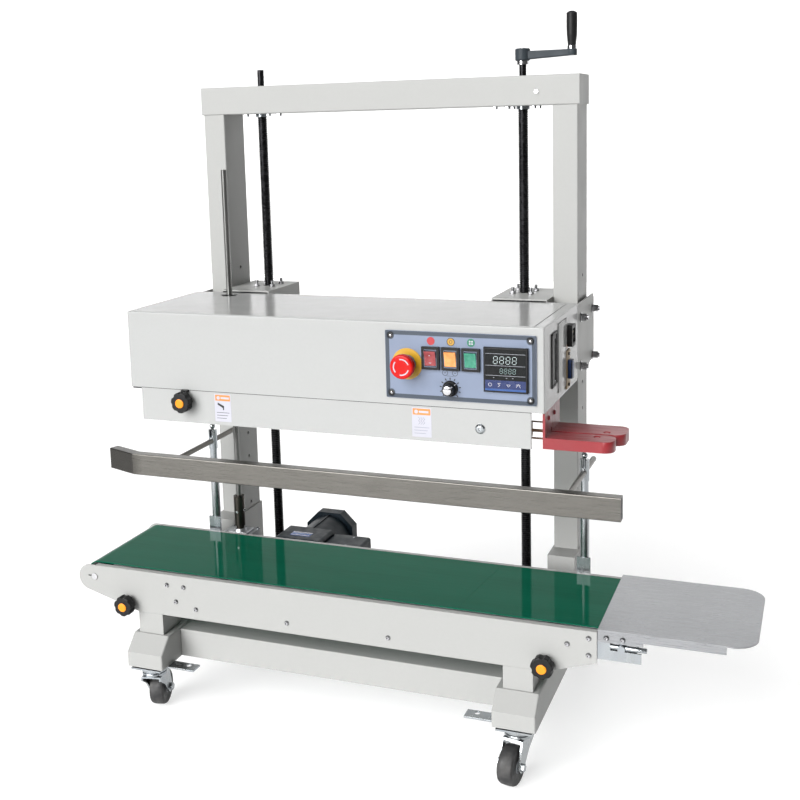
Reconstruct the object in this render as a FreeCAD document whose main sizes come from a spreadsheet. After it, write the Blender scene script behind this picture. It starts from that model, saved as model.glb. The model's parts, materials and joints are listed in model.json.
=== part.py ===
import FreeCAD, Part
import math
import os
import Sketcher

# Vertical continuous band sealer. Machine frame: X along the conveyor (bags enter at +X), Y from the
# operator's side to the back, Z up from the floor. X = 0 is midway between the columns and Y = 0 is the
# head's front face; every sub-part is then shifted so that the origin is under the middle of the machine.

DIMENSIONS = {
    # shift of the machine frame, so that the origin is the middle of the footprint
    "shift_x": -107.5, "shift_y": -187.9,
    "sheet": 2.5, "thin_sheet": 1.5,
    # legs and their casters
    "leg_x": 341.4, "leg_width": 72.6, "leg_front": -66, "leg_back": 442, "leg_bottom": 94,
    "leg_height": 54, "leg_slope": 27, "caster_inset": 31, "caster_trail": 27, "caster_swivel_radius": 22.5,
    "wheel_radius": 32, "wheel_width": 26, "fork_inside": 31, "fork_sheet": 3, "axle_radius": 4,
    "tab_width": 25, "tab_length": 112, "tab_thickness": 3, "tab_hole_radius": 5, "tab_hole_x": 271.5,
    # columns, beams and lead screws
    "column_x": 348.5, "column_width": 45, "column_depth": 80, "column_y": 333, "column_hole_radius": 3.5,
    "hole_pitch": 49.4, "socket_height": 120, "socket_front": 250, "socket_back": 376,
    "beam_bottom": 1078.5, "beam_height": 52.5, "beam_half_length": 374, "beam_depth": 84,
    "cross_depth": 50, "cross_height": 52, "screw_x": 263, "screw_radius": 9.5, "stub_radius": 6.4,
    "sprocket_radius": 30, "chain_thickness": 4.5,
    # crank
    "crank_length": 89, "crank_bottom": 1158, "hub_radius": 13.5, "hub_height": 22, "grip_radius": 9.4,
    "grip_length": 59,
    # conveyor
    "plate_front": -37, "conveyor_width": 232, "plate_top": 264.5, "plate_bottom": 187,
    "plate_left": -468, "plate_right": 469, "plate_nose_radius": 24, "flange_width": 11.5,
    "belt_width": 203, "belt_thickness": 2, "roller_z": 243, "roller_radius": 21.7, "roller_gap": 0.3,
    "drive_roller_x": -458, "tail_roller_x": 507, "journal_radius": 6, "post_width": 50, "post_depth": 60,
    "post_x": 342, "bracket_left": 446, "bracket_right": 537, "bracket_height": 42, "slot_height": 12.6,
    "table_left": 470, "table_length": 237, "table_corner": 38, "table_sheet": 2, "table_bottom": 267.5,
    "table_flange_right": 663, "tension_rod_radius": 4, "screw_head_radius": 4.6, "knob_radius": 18.5,
    # drive
    "motor_x": -156, "motor_z": 216, "gear_head_size": 98, "motor_radius": 45, "fan_size": 101,
    "shaft_x": -287.5, "shaft_y": 212, "shaft_radius": 5.5, "shaft_top": 975, "joint_radius": 10.8,
    "gearbox_top": 260,
    # bag guide
    "guide_post_radius": 8.3, "guide_left_x": -335, "guide_right_x": 401, "guide_post_y": 204,
    "guide_post_top": 468, "guide_tube_top": 390, "guide_rod_bore": 7,
    "bar_front": 55, "bar_depth": 20, "bar_bottom": 413, "bar_height": 40,
    "bar_left": -423, "bar_right": 489, "bar_bend": 20, "bar_tail": 70, "rod_radius": 5, "rod_z": 446,
    # head
    "head_half_length": 379, "head_depth": 251, "head_bottom": 598, "head_height": 136.7,
    "guard_half_length": 358, "guard_height": 59, "guard_side": 34, "flange_back": 400,
    "panel_x": 241.2, "panel_z": 665.7, "panel_length": 252, "panel_height": 112, "panel_sheet": 2.5,
    "controller_x": 318.7, "controller_size": 72, "controller_depth": 60, "rocker_x": 193.9,
    "rocker_pitch": 33.7, "rocker_z": 679, "rocker_width": 19, "rocker_length": 24, "stop_x": 152.9,
    "stop_radius": 20, "speed_x": 225.6, "speed_z": 630.1, "speed_radius": 13.3,
    "carriage_width": 103, "carriage_back": 390, "carriage_top": 739, "nut_clearance": 0.35,
    # seal line, bands and inlet
    "seal_y": 54, "band_radius": 21.5, "band_thickness": 1, "band_height": 13, "band_bottom": 548,
    "feed_bottom": 539, "feed_height": 6, "band_left": -320, "band_right": 318, "band_gap": 0.5,
    "inlet_left": 373.4, "inlet_front_length": 111, "inlet_rear_length": 121, "inlet_front_width": 44,
    "inlet_rear_width": 60, "inlet_height": 18, "strip_left": 326, "strip_thickness": 1,
    "inlet_bottom": 538, "inlet_slit": 5,
}

doc = FreeCAD.newDocument("BandSealer")
sheet = doc.addObject("Spreadsheet::Sheet", "Sizes")
for row, (alias, number) in enumerate(DIMENSIONS.items(), start=1):
    sheet.set(f"A{row}", alias)
    sheet.set(f"B{row}", str(number))
    sheet.setAlias(f"B{row}", alias)
doc.recompute()

SUB_PARTS = []


class Size:
    """A length that knows its number and the formula on the spreadsheet's cells that gives it."""

    def __init__(self, number, formula):
        self.number = float(number)
        self.formula = formula

    def __add__(self, other):
        return combine(self, "+", other, self.number + number_of(other))

    def __radd__(self, other):
        return combine(other, "+", self, number_of(other) + self.number)

    def __sub__(self, other):
        return combine(self, "-", other, self.number - number_of(other))

    def __rsub__(self, other):
        return combine(other, "-", self, number_of(other) - self.number)

    def __mul__(self, other):
        return combine(self, "*", other, self.number * number_of(other))

    def __rmul__(self, other):
        return combine(other, "*", self, number_of(other) * self.number)

    def __truediv__(self, other):
        return combine(self, "/", other, self.number / number_of(other))

    def __neg__(self):
        return combine(0, "-", self, -self.number)


def number_of(value):
    return value.number if isinstance(value, Size) else float(value)


def formula_of(value):
    return value.formula if isinstance(value, Size) else f"({value:.6f})"


def combine(first, sign, second, number):
    return Size(number, f"({formula_of(first)} {sign} {formula_of(second)})")


class Cells:
    """Every driving dimension by name."""

    def __init__(self, names):
        for name, number in names.items():
            setattr(self, name, Size(number, f"Sizes.{name}"))


S = Cells(DIMENSIONS)


# ---------------------------------------------------------------- helpers


def bind(thing, prop, value):
    thing.setExpression(prop, formula_of(value))


def place(thing, x, y, z):
    for letter, value in zip("xyz", (x, y, z)):
        bind(thing, f"Placement.Base.{letter}", value)


def block(x, y, z, length, width, height):
    """Box from its lowest corner."""
    thing = doc.addObject("Part::Box", "Block")
    for prop, value in (("Length", length), ("Width", width), ("Height", height)):
        bind(thing, prop, value)
    place(thing, x, y, z)
    return thing


TURNS = {
    "x": FreeCAD.Rotation(FreeCAD.Vector(0, 1, 0), 90),
    "y": FreeCAD.Rotation(FreeCAD.Vector(1, 0, 0), -90),
    "z": FreeCAD.Rotation(),
}


def cylinder(axis, x, y, z, radius, length):
    """Cylinder from the centre of its first end, along an axis."""
    thing = doc.addObject("Part::Cylinder", "Cylinder")
    thing.Placement = FreeCAD.Placement(FreeCAD.Vector(), TURNS[axis])
    bind(thing, "Radius", radius)
    bind(thing, "Height", length)
    place(thing, x, y, z)
    return thing


def cone(axis, x, y, z, radius, end_radius, length):
    thing = doc.addObject("Part::Cone", "Cone")
    thing.Placement = FreeCAD.Placement(FreeCAD.Vector(), TURNS[axis])
    bind(thing, "Radius1", radius)
    bind(thing, "Radius2", end_radius)
    bind(thing, "Height", length)
    place(thing, x, y, z)
    return thing


def hexagon(axis, x, y, z, radius, length):
    thing = doc.addObject("Part::Prism", "Hexagon")
    thing.Polygon = 6
    thing.Placement = FreeCAD.Placement(FreeCAD.Vector(), TURNS[axis])
    bind(thing, "Circumradius", radius)
    bind(thing, "Height", length)
    place(thing, x, y, z)
    return thing


def ball(x, y, z, radius):
    thing = doc.addObject("Part::Sphere", "Ball")
    bind(thing, "Radius", radius)
    place(thing, x, y, z)
    return thing


def cut(base, *tools):
    """Base with the tools taken away."""
    thing = doc.addObject("Part::Cut", "Cut")
    thing.Base = base
    thing.Tool = tools[0] if len(tools) == 1 else fuse(*tools)
    return thing


def fuse(*things):
    thing = doc.addObject("Part::MultiFuse", "Fusion")
    thing.Shapes = list(things)
    return thing


def round_edges(base, radius, test):
    """Fillet the edges whose box passes the test."""
    doc.recompute()
    thing = doc.addObject("Part::Fillet", "Rounded")
    thing.Base = base
    thing.Edges = [(index, number_of(radius), number_of(radius))
                   for index, edge in enumerate(base.Shape.Edges, start=1) if test(edge.BoundBox)]
    return thing


def register(thing, label):
    thing.Label = label
    place(thing, S.shift_x, S.shift_y, 0)
    SUB_PARTS.append(thing)
    return thing


def sub_part(label, *solids):
    """One node of the machine, made of one or more separate solids."""
    thing = doc.addObject("Part::Compound", label)
    thing.Links = list(solids)
    return register(thing, label)


def new_body(label):
    return register(doc.addObject("PartDesign::Body", label), label)


def new_sketch(body, role, offset=0):
    """Sketch on one of the body's own origin planes, moved along the plane's normal."""
    plane = next(item for item in body.Origin.OriginFeatures if item.Role == role)
    sketch = body.newObject("Sketcher::SketchObject", "Sketch")
    sketch.AttachmentSupport = (plane, [""])
    sketch.MapMode = "FlatFace"
    bind(sketch, "AttachmentOffset.Base.z", offset)
    return sketch


def pin_point(sketch, geometry, point, x, y):
    """Fix a point of the sketch from the sketch's origin."""
    for kind, value in (("DistanceX", x), ("DistanceY", y)):
        constraint = Sketcher.Constraint(kind, -1, 1, geometry, point, number_of(value))
        bind(sketch, f"Constraints[{sketch.addConstraint(constraint)}]", value)


def polygon(sketch, corners):
    """Closed outline with every corner fixed."""
    first = sketch.GeometryCount
    count = len(corners)
    points = [FreeCAD.Vector(number_of(x), number_of(y), 0) for x, y in corners]
    for index in range(count):
        sketch.addGeometry(Part.LineSegment(points[index], points[(index + 1) % count]), False)
    for index in range(count):
        following = first + (index + 1) % count
        sketch.addConstraint(Sketcher.Constraint("Coincident", first + index, 2, following, 1))
    for index, (x, y) in enumerate(corners):
        pin_point(sketch, first + index, 1, x, y)


def rectangle(sketch, x, y, length, height):
    polygon(sketch, [(x, y), (x + length, y), (x + length, y + height), (x, y + height)])


def circle(sketch, x, y, radius):
    centre = FreeCAD.Vector(number_of(x), number_of(y), 0)
    ring = Part.Circle(centre, FreeCAD.Vector(0, 0, 1), number_of(radius))
    geometry = sketch.addGeometry(ring, False)
    index = sketch.addConstraint(Sketcher.Constraint("Radius", geometry, number_of(radius)))
    bind(sketch, f"Constraints[{index}]", radius)
    pin_point(sketch, geometry, 3, x, y)


def extrude(body, kind, sketch, length, middle=False, backwards=False):
    """Pad or pocket a sketch."""
    feature = body.newObject(f"PartDesign::{kind}", kind)
    feature.Profile = sketch
    feature.Midplane = middle
    feature.Reversed = backwards
    bind(feature, "Length", length)
    sketch.Visibility = False
    return feature


def soften(body, feature, radius, test):
    """PartDesign fillet on the edges whose box passes the test."""
    doc.recompute()
    names = [f"Edge{index}" for index, edge in enumerate(feature.Shape.Edges, start=1)
             if test(edge.BoundBox)]
    fillet = body.newObject("PartDesign::Fillet", "Fillet")
    fillet.Base = (feature, names)
    bind(fillet, "Radius", radius)
    return fillet


def along(letter):
    """Test for straight edges along an axis."""
    def test(box):
        lengths = {"x": box.XLength, "y": box.YLength, "z": box.ZLength}
        own = lengths.pop(letter)
        return own > 0.5 and max(lengths.values()) < 0.01
    return test


def button_screw(x, y, z, facing):
    """Round-headed socket screw along Y on a side plate; the head stands on the plate's outer face."""
    head = S.screw_head_radius
    height = 3.2
    start = y - height if facing < 0 else y
    shape = cone("y", x, start, z, 3.0 if facing < 0 else head, head if facing < 0 else 3.0, height)
    socket = cylinder("y", x, start - 0.5 if facing < 0 else start + height - 1.5, z, 1.7, 2)
    return cut(shape, socket)


# ---------------------------------------------------------------- frame

LEG_TOP = S.leg_bottom + S.leg_height
LEG_FOLD = S.leg_bottom + S.leg_slope
SIDES = (-1, 1)


def leg(side):
    """Folded channel, open underneath, with sloped ends."""
    wall = S.sheet
    left = side * S.leg_x - S.leg_width / 2
    outer = [(S.leg_front, S.leg_bottom), (S.leg_front, LEG_FOLD), (S.leg_front + S.leg_slope, LEG_TOP),
             (S.leg_back - S.leg_slope, LEG_TOP), (S.leg_back, LEG_FOLD), (S.leg_back, S.leg_bottom)]
    body = doc.addObject("PartDesign::Body", "Leg")
    sketch = new_sketch(body, "YZ_Plane", left)
    polygon(sketch, outer)
    pad = extrude(body, "Pad", sketch, S.leg_width)
    bottom = number_of(S.leg_bottom)
    soften(body, pad, 3, lambda box: box.XLength < 0.01 and box.ZMax > bottom + 1)
    inner = [(S.leg_front + wall, S.leg_bottom - 1), (S.leg_front + wall, LEG_FOLD - 1),
             (S.leg_front + S.leg_slope + 1, LEG_TOP - wall), (S.leg_back - S.leg_slope - 1, LEG_TOP - wall),
             (S.leg_back - wall, LEG_FOLD - 1), (S.leg_back - wall, S.leg_bottom - 1)]
    hollow = new_sketch(body, "YZ_Plane", left + wall)
    polygon(hollow, inner)
    extrude(body, "Pocket", hollow, S.leg_width - 2 * wall, backwards=True)
    return body


beam_half = S.leg_x - S.leg_width / 2


def tube(x, y, z, length, width, height, axis, wall):
    """Rectangular tube, open at both ends of its axis."""
    outer = block(x, y, z, length, width, height)
    inset = {letter: 0 if letter == axis else wall for letter in "xyz"}
    over = {letter: 1 if letter == axis else 0 for letter in "xyz"}
    inner = block(x + inset["x"] - over["x"], y + inset["y"] - over["y"], z + inset["z"] - over["z"],
                  length - 2 * inset["x"] + 2 * over["x"], width - 2 * inset["y"] + 2 * over["y"],
                  height - 2 * inset["z"] + 2 * over["z"])
    return cut(outer, inner)


sub_part("cross_beams", *[
    tube(-beam_half, front, S.leg_bottom, 2 * beam_half, S.cross_depth, S.cross_height, "x", S.sheet)
    for front in (Size(0, "0"), S.column_y - S.cross_depth / 2)])


def column_socket(side):
    """Upright shoe that holds the foot of a column."""
    wall = S.sheet
    x = side * S.column_x - S.column_width / 2
    depth = S.socket_back - S.socket_front
    shell = block(x - wall, S.socket_front, LEG_TOP, S.column_width + 2 * wall, depth, S.socket_height)
    hollow = block(x, S.socket_front + wall, LEG_TOP - 1, S.column_width, depth - 2 * wall,
                   S.socket_height - wall + 1)
    opening = block(x, S.column_y - S.column_depth / 2, LEG_TOP, S.column_width, S.column_depth,
                    S.socket_height + 1)
    return cut(shell, hollow, opening)


sub_part("legs", *[leg(side) for side in SIDES], *[column_socket(side) for side in SIDES])


def column(side):
    """Rectangular tube with a row of round holes through its side walls."""
    wall = S.sheet
    x = side * S.column_x - S.column_width / 2
    y = S.column_y - S.column_depth / 2
    height = S.beam_bottom - LEG_TOP
    body = doc.addObject("PartDesign::Body", "Column")
    outer = new_sketch(body, "XY_Plane", LEG_TOP)
    rectangle(outer, x, y, S.column_width, S.column_depth)
    rectangle(outer, x + wall, y + wall, S.column_width - 2 * wall, S.column_depth - 2 * wall)
    pad = extrude(body, "Pad", outer, height)
    low_x, high_x = number_of(x), number_of(x + S.column_width)
    low_y, high_y = number_of(y), number_of(y + S.column_depth)
    soften(body, pad, 2.4, lambda box: along("z")(box) and (abs(box.XMin - low_x) < 0.01 or abs(
        box.XMin - high_x) < 0.01) and (abs(box.YMin - low_y) < 0.01 or abs(box.YMin - high_y) < 0.01))
    hole = new_sketch(body, "YZ_Plane", x - 1)
    circle(hole, S.column_y, LEG_TOP + S.socket_height + 12, S.column_hole_radius)
    pocket = extrude(body, "Pocket", hole, S.column_width + 2, backwards=True)
    holes = body.newObject("PartDesign::LinearPattern", "Holes")
    holes.Originals = [pocket]
    holes.Direction = (hole, ["V_Axis"])
    holes.Occurrences = 11
    bind(holes, "Length", 10 * S.hole_pitch)
    body.Tip = holes
    return body


sub_part("columns", *[column(side) for side in SIDES])

BEAM_TOP = S.beam_bottom + S.beam_height
beam_front = S.column_y - S.beam_depth / 2


def top_beam():
    """Closed rectangular tube on the columns, with the lead screws passing through."""
    wall = S.sheet
    shell = block(-S.beam_half_length, beam_front, S.beam_bottom, 2 * S.beam_half_length, S.beam_depth,
                  S.beam_height)
    outside = round_edges(shell, 2, along("x"))
    hollow = block(wall - S.beam_half_length, beam_front + wall, S.beam_bottom + wall,
                   2 * S.beam_half_length - 2 * wall, S.beam_depth - 2 * wall, S.beam_height - 2 * wall)
    openings = [cylinder("z", side * S.screw_x, S.column_y, S.beam_bottom - 1, S.screw_radius + 1.5,
                         S.beam_height + 2) for side in SIDES]
    return cut(outside, hollow, *openings)


sub_part("top_beam", top_beam())

CHAIN_Z = S.beam_bottom + 24


def loop(x_left, x_right, y, z, radius, thickness, height):
    """Endless band round two equal wheels on vertical axes."""
    def stadium(size, low, tall):
        length = x_right - x_left
        return fuse(cylinder("z", x_left, y, low, size, tall), cylinder("z", x_right, y, low, size, tall),
                    block(x_left, y - size, low, length, 2 * size, tall))
    return cut(stadium(radius + thickness, z, height), stadium(radius, z - 1, height + 2))


sub_part("lift_chain", loop(-S.screw_x, S.screw_x, S.column_y, CHAIN_Z, S.sprocket_radius + 0.4,
                            S.chain_thickness, 6))

CROSS_TOP = S.leg_bottom + S.cross_height
FOOT_BEARING = 20


def screw_bearing(x, z, radius, height):
    return cut(cylinder("z", x, S.column_y, z, radius, height),
               cylinder("z", x, S.column_y, z - 1, S.screw_radius + 0.05, height + 2))


sub_part("screw_bearings", *[screw_bearing(side * S.screw_x, low, radius, height) for side in SIDES
                             for low, radius, height in ((CROSS_TOP, 20, FOOT_BEARING),
                                                         (S.beam_bottom - 6, 12, 6))])


def beam_bolts():
    """Bearing bolts whose heads hang under the top beam, with one spare chain bolt on the inner side."""
    spots = [(24, -19), (24, 19), (-24, -19), (-24, 19), (-47, -19)]
    bolts = []
    for side in SIDES:
        for dx, dy in spots:
            bolts.append(hexagon("z", side * (S.screw_x + dx), S.column_y + dy, S.beam_bottom - 5, 5, 5))
    bolts.append(hexagon("y", S.screw_x + 35, beam_front - 2.5, S.beam_bottom + 24, 4, 2.5))
    return bolts


def caster_spots():
    """Name, position and heading of the four casters; the heading is the trail's direction in degrees."""
    front = S.leg_front + S.caster_inset
    back = S.leg_back - S.caster_inset
    return [("front_left", -S.leg_x, front, 102), ("front_right", S.leg_x, front, -100),
            ("rear_left", -S.leg_x, back, 97), ("rear_right", S.leg_x, back, 80)]


def anchor_tab(side, y):
    """Steel strip under the leg with a floor bolt hole at its inner end."""
    inner = S.leg_x - S.leg_width / 2 - 52
    x = inner if side > 0 else -inner - S.tab_length
    strip = block(x, y - S.tab_width / 2, S.leg_bottom - S.tab_thickness, S.tab_length, S.tab_width,
                  S.tab_thickness)
    hole = cylinder("z", side * S.tab_hole_x, y + 5, S.leg_bottom - S.tab_thickness - 1, S.tab_hole_radius,
                    S.tab_thickness + 2)
    stem = cylinder("z", side * S.leg_x, y, S.leg_bottom - S.tab_thickness - 1, 6.2, S.tab_thickness + 2)
    return cut(strip, hole, stem)


sub_part("anchor_tabs", *[anchor_tab(1 if number_of(x) > 0 else -1, y) for _, x, y, _ in caster_spots()])

# ---------------------------------------------------------------- casters

TAB_BOTTOM = S.leg_bottom - S.tab_thickness
RACE_BOTTOM = 78.3
FORK_TOP = 73


def caster_top(x, y):
    """Fixed plate, stem and upper ball race."""
    plate = block(x - 30, y - 30, TAB_BOTTOM - 3, 60, 60, 3)
    race = cylinder("z", x, y, RACE_BOTTOM, S.caster_swivel_radius + 0.5, TAB_BOTTOM - 3 - RACE_BOTTOM)
    stem = cylinder("z", x, y, TAB_BOTTOM - 1, 6, S.tab_thickness + 12)
    return fuse(plate, round_edges(race, 2.5, lambda box: box.ZLength < 0.01 and box.ZMin < 80), stem)


sub_part("caster_tops", *[caster_top(x, y) for _, x, y, _ in caster_spots()])


def turned(thing, heading, x, y):
    """Turn a caster piece to its heading and carry it to its leg."""
    thing.Placement = FreeCAD.Placement(FreeCAD.Vector(), FreeCAD.Rotation(FreeCAD.Vector(0, 0, 1), heading))
    place(thing, x, y, 0)
    return thing


def caster_fork(heading, x, y):
    """Pressed fork with lower race and axle bolt; the wheel trails along +X before turning."""
    half = S.fork_inside / 2 + S.fork_sheet
    trail = S.caster_trail
    body = doc.addObject("PartDesign::Body", "Fork")
    profile = new_sketch(body, "XZ_Plane")
    polygon(profile, [(-S.caster_swivel_radius, FORK_TOP), (-S.caster_swivel_radius, FORK_TOP - 8),
                      (-2, FORK_TOP - 22), (trail - 10, S.wheel_radius - 4),
                      (trail - 4, S.wheel_radius - 9), (trail + 4, S.wheel_radius - 9),
                      (trail + 9, S.wheel_radius - 2), (S.caster_swivel_radius + 6, FORK_TOP - 14),
                      (S.caster_swivel_radius, FORK_TOP)])
    pad = extrude(body, "Pad", profile, 2 * half, middle=True)
    soften(body, pad, 2.5, lambda box: along("x")(box) and box.ZMin > FORK_TOP - 0.1)
    gap = new_sketch(body, "YZ_Plane", -40)
    rectangle(gap, -S.fork_inside / 2, 0, S.fork_inside, FORK_TOP - S.fork_sheet)
    extrude(body, "Pocket", gap, 120, backwards=True)
    race = round_edges(cylinder("z", 0, 0, FORK_TOP - 0.5, S.caster_swivel_radius,
                                RACE_BOTTOM - FORK_TOP + 0.2),
                       2, lambda box: box.ZLength < 0.01 and box.ZMin > FORK_TOP + 2)
    axle = cylinder("y", trail, -half, S.wheel_radius, S.axle_radius, 2 * half)
    nuts = [hexagon("y", trail, spot, S.wheel_radius, 6.5, 5) for spot in (-half - 5, half)]
    return turned(fuse(body, race, axle, *nuts), heading, x, y)


def caster_wheel(heading, x, y):
    """Rubber wheel with a crowned tread and a hub a little wider than the tread."""
    trail = S.caster_trail
    tread = round_edges(cylinder("y", trail, -S.wheel_width / 2, S.wheel_radius, S.wheel_radius,
                                 S.wheel_width), 5, lambda box: box.YLength < 0.01)
    hub = cylinder("y", trail, -S.wheel_width / 2 - 1.5, S.wheel_radius, 10, S.wheel_width + 3)
    bore = cylinder("y", trail, -S.wheel_width, S.wheel_radius, S.axle_radius + 0.05, 2 * S.wheel_width)
    return turned(cut(fuse(tread, hub), bore), heading, x, y)


for name, x, y, heading in caster_spots():
    sub_part(f"caster_fork_{name}", caster_fork(heading, x, y))
    sub_part(f"caster_wheel_{name}", caster_wheel(heading, x, y))

# ---------------------------------------------------------------- lead screws and crank

CRANK_TOP = S.crank_bottom + S.hub_height


def lead_screw(label, side, top):
    """Screw from its foot bearing to the beam, with its sprocket and top stub."""
    x = side * S.screw_x
    journal = S.beam_bottom + 8
    sub_part(label, fuse(
        cylinder("z", x, S.column_y, CROSS_TOP + 2, S.screw_radius, journal - CROSS_TOP - 2),
        cylinder("z", x, S.column_y, journal - 1, S.stub_radius, top - journal + 1),
        cylinder("z", x, S.column_y, CHAIN_Z + 0.5, S.sprocket_radius, 5),
        cylinder("z", x, S.column_y, CHAIN_Z - 8, 14, 22)))


lead_screw("lead_screw_right", 1, CRANK_TOP - 4)
lead_screw("lead_screw_left", -1, BEAM_TOP + 32)


def crank_arm():
    """Cast arm with its hub, the collar below it and the pin that the handle turns on."""
    arm_top = CRANK_TOP - 5
    body = doc.addObject("PartDesign::Body", "Arm")
    side_view = new_sketch(body, "XZ_Plane", -S.column_y)
    polygon(side_view, [(S.screw_x, S.crank_bottom + 1.5), (S.screw_x + S.crank_length, S.crank_bottom + 6),
                        (S.screw_x + S.crank_length, arm_top), (S.screw_x, arm_top)])
    pad = extrude(body, "Pad", side_view, 15, middle=True)
    soften(body, pad, 2, lambda box: box.YLength < 0.01 and box.XLength > 20)
    hub = round_edges(cylinder("z", S.screw_x, S.column_y, S.crank_bottom, S.hub_radius, S.hub_height), 3,
                      lambda box: box.ZLength < 0.01)
    boss = cylinder("z", S.screw_x + S.crank_length, S.column_y, S.crank_bottom + 6, 9,
                    arm_top - S.crank_bottom - 6)
    collar = cylinder("z", S.screw_x, S.column_y, S.crank_bottom - 6.5, 10.5, 6.6)
    pin = cylinder("z", S.screw_x + S.crank_length, S.column_y, arm_top - 1, 4, S.grip_length + 2)
    bore = cylinder("z", S.screw_x, S.column_y, S.crank_bottom - 10, S.stub_radius, S.hub_height + 6)
    return cut(fuse(body, hub, boss, collar, pin), bore)


sub_part("crank_arm", crank_arm())


def crank_handle():
    """Grip that spins on the crank's pin: revolved, slim at its foot, domed at its top."""
    foot = CRANK_TOP - 4.7
    top = foot + 6 + S.grip_length
    body = new_body("crank_handle")
    profile = new_sketch(body, "XZ_Plane", -S.column_y)
    x = S.screw_x + S.crank_length
    bore = 4.05
    polygon(profile, [(x + bore, foot), (x + 8, foot), (x + 8, foot + 5.5), (x + 6.8, foot + 6),
                      (x + 7.2, foot + 8), (x + 9, foot + 24), (x + S.grip_radius, foot + 38),
                      (x + S.grip_radius, top - 3), (x + 5, top), (x + bore, top)])
    revolution = body.newObject("PartDesign::Revolution", "Turned")
    revolution.Profile = profile
    axis = body.newObject("PartDesign::Line", "Spindle")
    axis.Placement = FreeCAD.Placement(FreeCAD.Vector(number_of(x), number_of(S.column_y), 0),
                                       FreeCAD.Rotation())
    bind(axis, "Placement.Base.x", x)
    bind(axis, "Placement.Base.y", S.column_y)
    revolution.ReferenceAxis = (axis, [""])
    revolution.Angle = 360
    body.Tip = revolution


crank_handle()

# ---------------------------------------------------------------- conveyor

PLATE_BACK = S.plate_front + S.conveyor_width
BELT_MIDDLE = S.plate_front + S.conveyor_width / 2
BELT_RADIUS = S.roller_radius + S.roller_gap
FRONT_SCREWS = [(-304.2, 245.2), (-270, 244.8), (-287, 215.8), (-246.7, 206.2), (-67.3, 205.6), (120, 205.6),
                (422.1, 239), (456, 252.7), (456, 224.7)]
# the gearbox covers the rear plate where the first three would stand
BEHIND_GEARBOX = 3


def side_plate(label, face, inward):
    """Conveyor side plate: round nose at the left, sloped ends below, folded flange along its top."""
    nose = math.radians(15.5)
    radius = S.plate_nose_radius
    centre_z = S.plate_top - radius
    low_x = S.plate_left - radius * math.sin(nose)
    low_z = centre_z - radius * math.cos(nose)
    body = new_body(label)
    sketch = new_sketch(body, "XZ_Plane", -face if inward > 0 else -(face - S.sheet))
    corners = [(S.plate_left, S.plate_top), (S.plate_right, S.plate_top), (S.plate_right, S.plate_top - 51.5),
               (S.plate_right - 84, S.plate_bottom), (S.plate_left + 103, S.plate_bottom), (low_x, low_z)]
    points = [FreeCAD.Vector(number_of(px), number_of(pz), 0) for px, pz in corners]
    for start, end in zip(points, points[1:]):
        sketch.addGeometry(Part.LineSegment(start, end), False)
    middle = math.radians(90 + (180 - 15.5) / 2)
    centre = FreeCAD.Vector(number_of(S.plate_left), number_of(centre_z), 0)
    bulge = centre + FreeCAD.Vector(math.cos(middle), math.sin(middle), 0) * number_of(radius)
    arc = sketch.addGeometry(Part.Arc(points[-1], bulge, points[0]), False)
    for index in range(len(points) - 2):
        sketch.addConstraint(Sketcher.Constraint("Coincident", index, 2, index + 1, 1))
    ends = {True: (arc, 1), False: (arc, 2)}
    first_end = (sketch.getPoint(arc, 1) - points[-1]).Length < 0.01
    sketch.addConstraint(Sketcher.Constraint("Coincident", len(points) - 2, 2, *ends[first_end]))
    sketch.addConstraint(Sketcher.Constraint("Coincident", 0, 1, *ends[not first_end]))
    for index, (px, pz) in enumerate(corners[:-1]):
        pin_point(sketch, index, 1, px, pz)
    pin_point(sketch, len(points) - 2, 2, *corners[-1])
    rounding = sketch.addConstraint(Sketcher.Constraint("Radius", arc, number_of(radius)))
    bind(sketch, f"Constraints[{rounding}]", radius)
    extrude(body, "Pad", sketch, S.sheet, backwards=True)
    fold = new_sketch(body, "XY_Plane", S.plate_top - S.sheet)
    flange_y = face if inward > 0 else face - S.flange_width
    rectangle(fold, S.plate_left + 12, flange_y, S.plate_right - S.plate_left - 12, S.flange_width)
    extrude(body, "Pad", fold, S.sheet)
    journal = new_sketch(body, "XZ_Plane", -(face - 5 if inward > 0 else face - S.sheet - 5))
    circle(journal, S.drive_roller_x, S.roller_z, S.journal_radius + 0.05)
    extrude(body, "Pocket", journal, S.sheet + 10)


side_plate("conveyor_front_plate", S.plate_front, 1)
side_plate("conveyor_rear_plate", PLATE_BACK, -1)

inside_front = S.plate_front + S.sheet
inside_width = S.conveyor_width - 2 * S.sheet


def slider_bed():
    """Channel that carries the upper run of the belt, and the bars that tie the side plates together."""
    width = S.belt_width - 1
    y = BELT_MIDDLE - width / 2
    top = S.roller_z + BELT_RADIUS
    shell = block(-425, y, top - 28, 895, width, 28)
    hollow = block(-426, y + S.sheet, top - 29, 897, width - 2 * S.sheet, 29 - S.sheet)
    bars = [tube(x, inside_front, top - 28 - 16, 40, inside_width, 16, "y", S.thin_sheet)
            for x in (-330, -20, 330)]
    return [cut(shell, hollow), *bars]


sub_part("slider_bed", *slider_bed())


def belt():
    """Endless belt round both rollers."""
    y = BELT_MIDDLE - S.belt_width / 2
    length = S.tail_roller_x - S.drive_roller_x

    def stadium(size, start, width):
        return fuse(cylinder("y", S.drive_roller_x, start, S.roller_z, size, width),
                    cylinder("y", S.tail_roller_x, start, S.roller_z, size, width),
                    block(S.drive_roller_x, start, S.roller_z - size, length, width, 2 * size))
    return cut(stadium(BELT_RADIUS + S.belt_thickness, y, S.belt_width),
               stadium(BELT_RADIUS, y - 1, S.belt_width + 2))


sub_part("conveyor_belt", belt())

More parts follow.
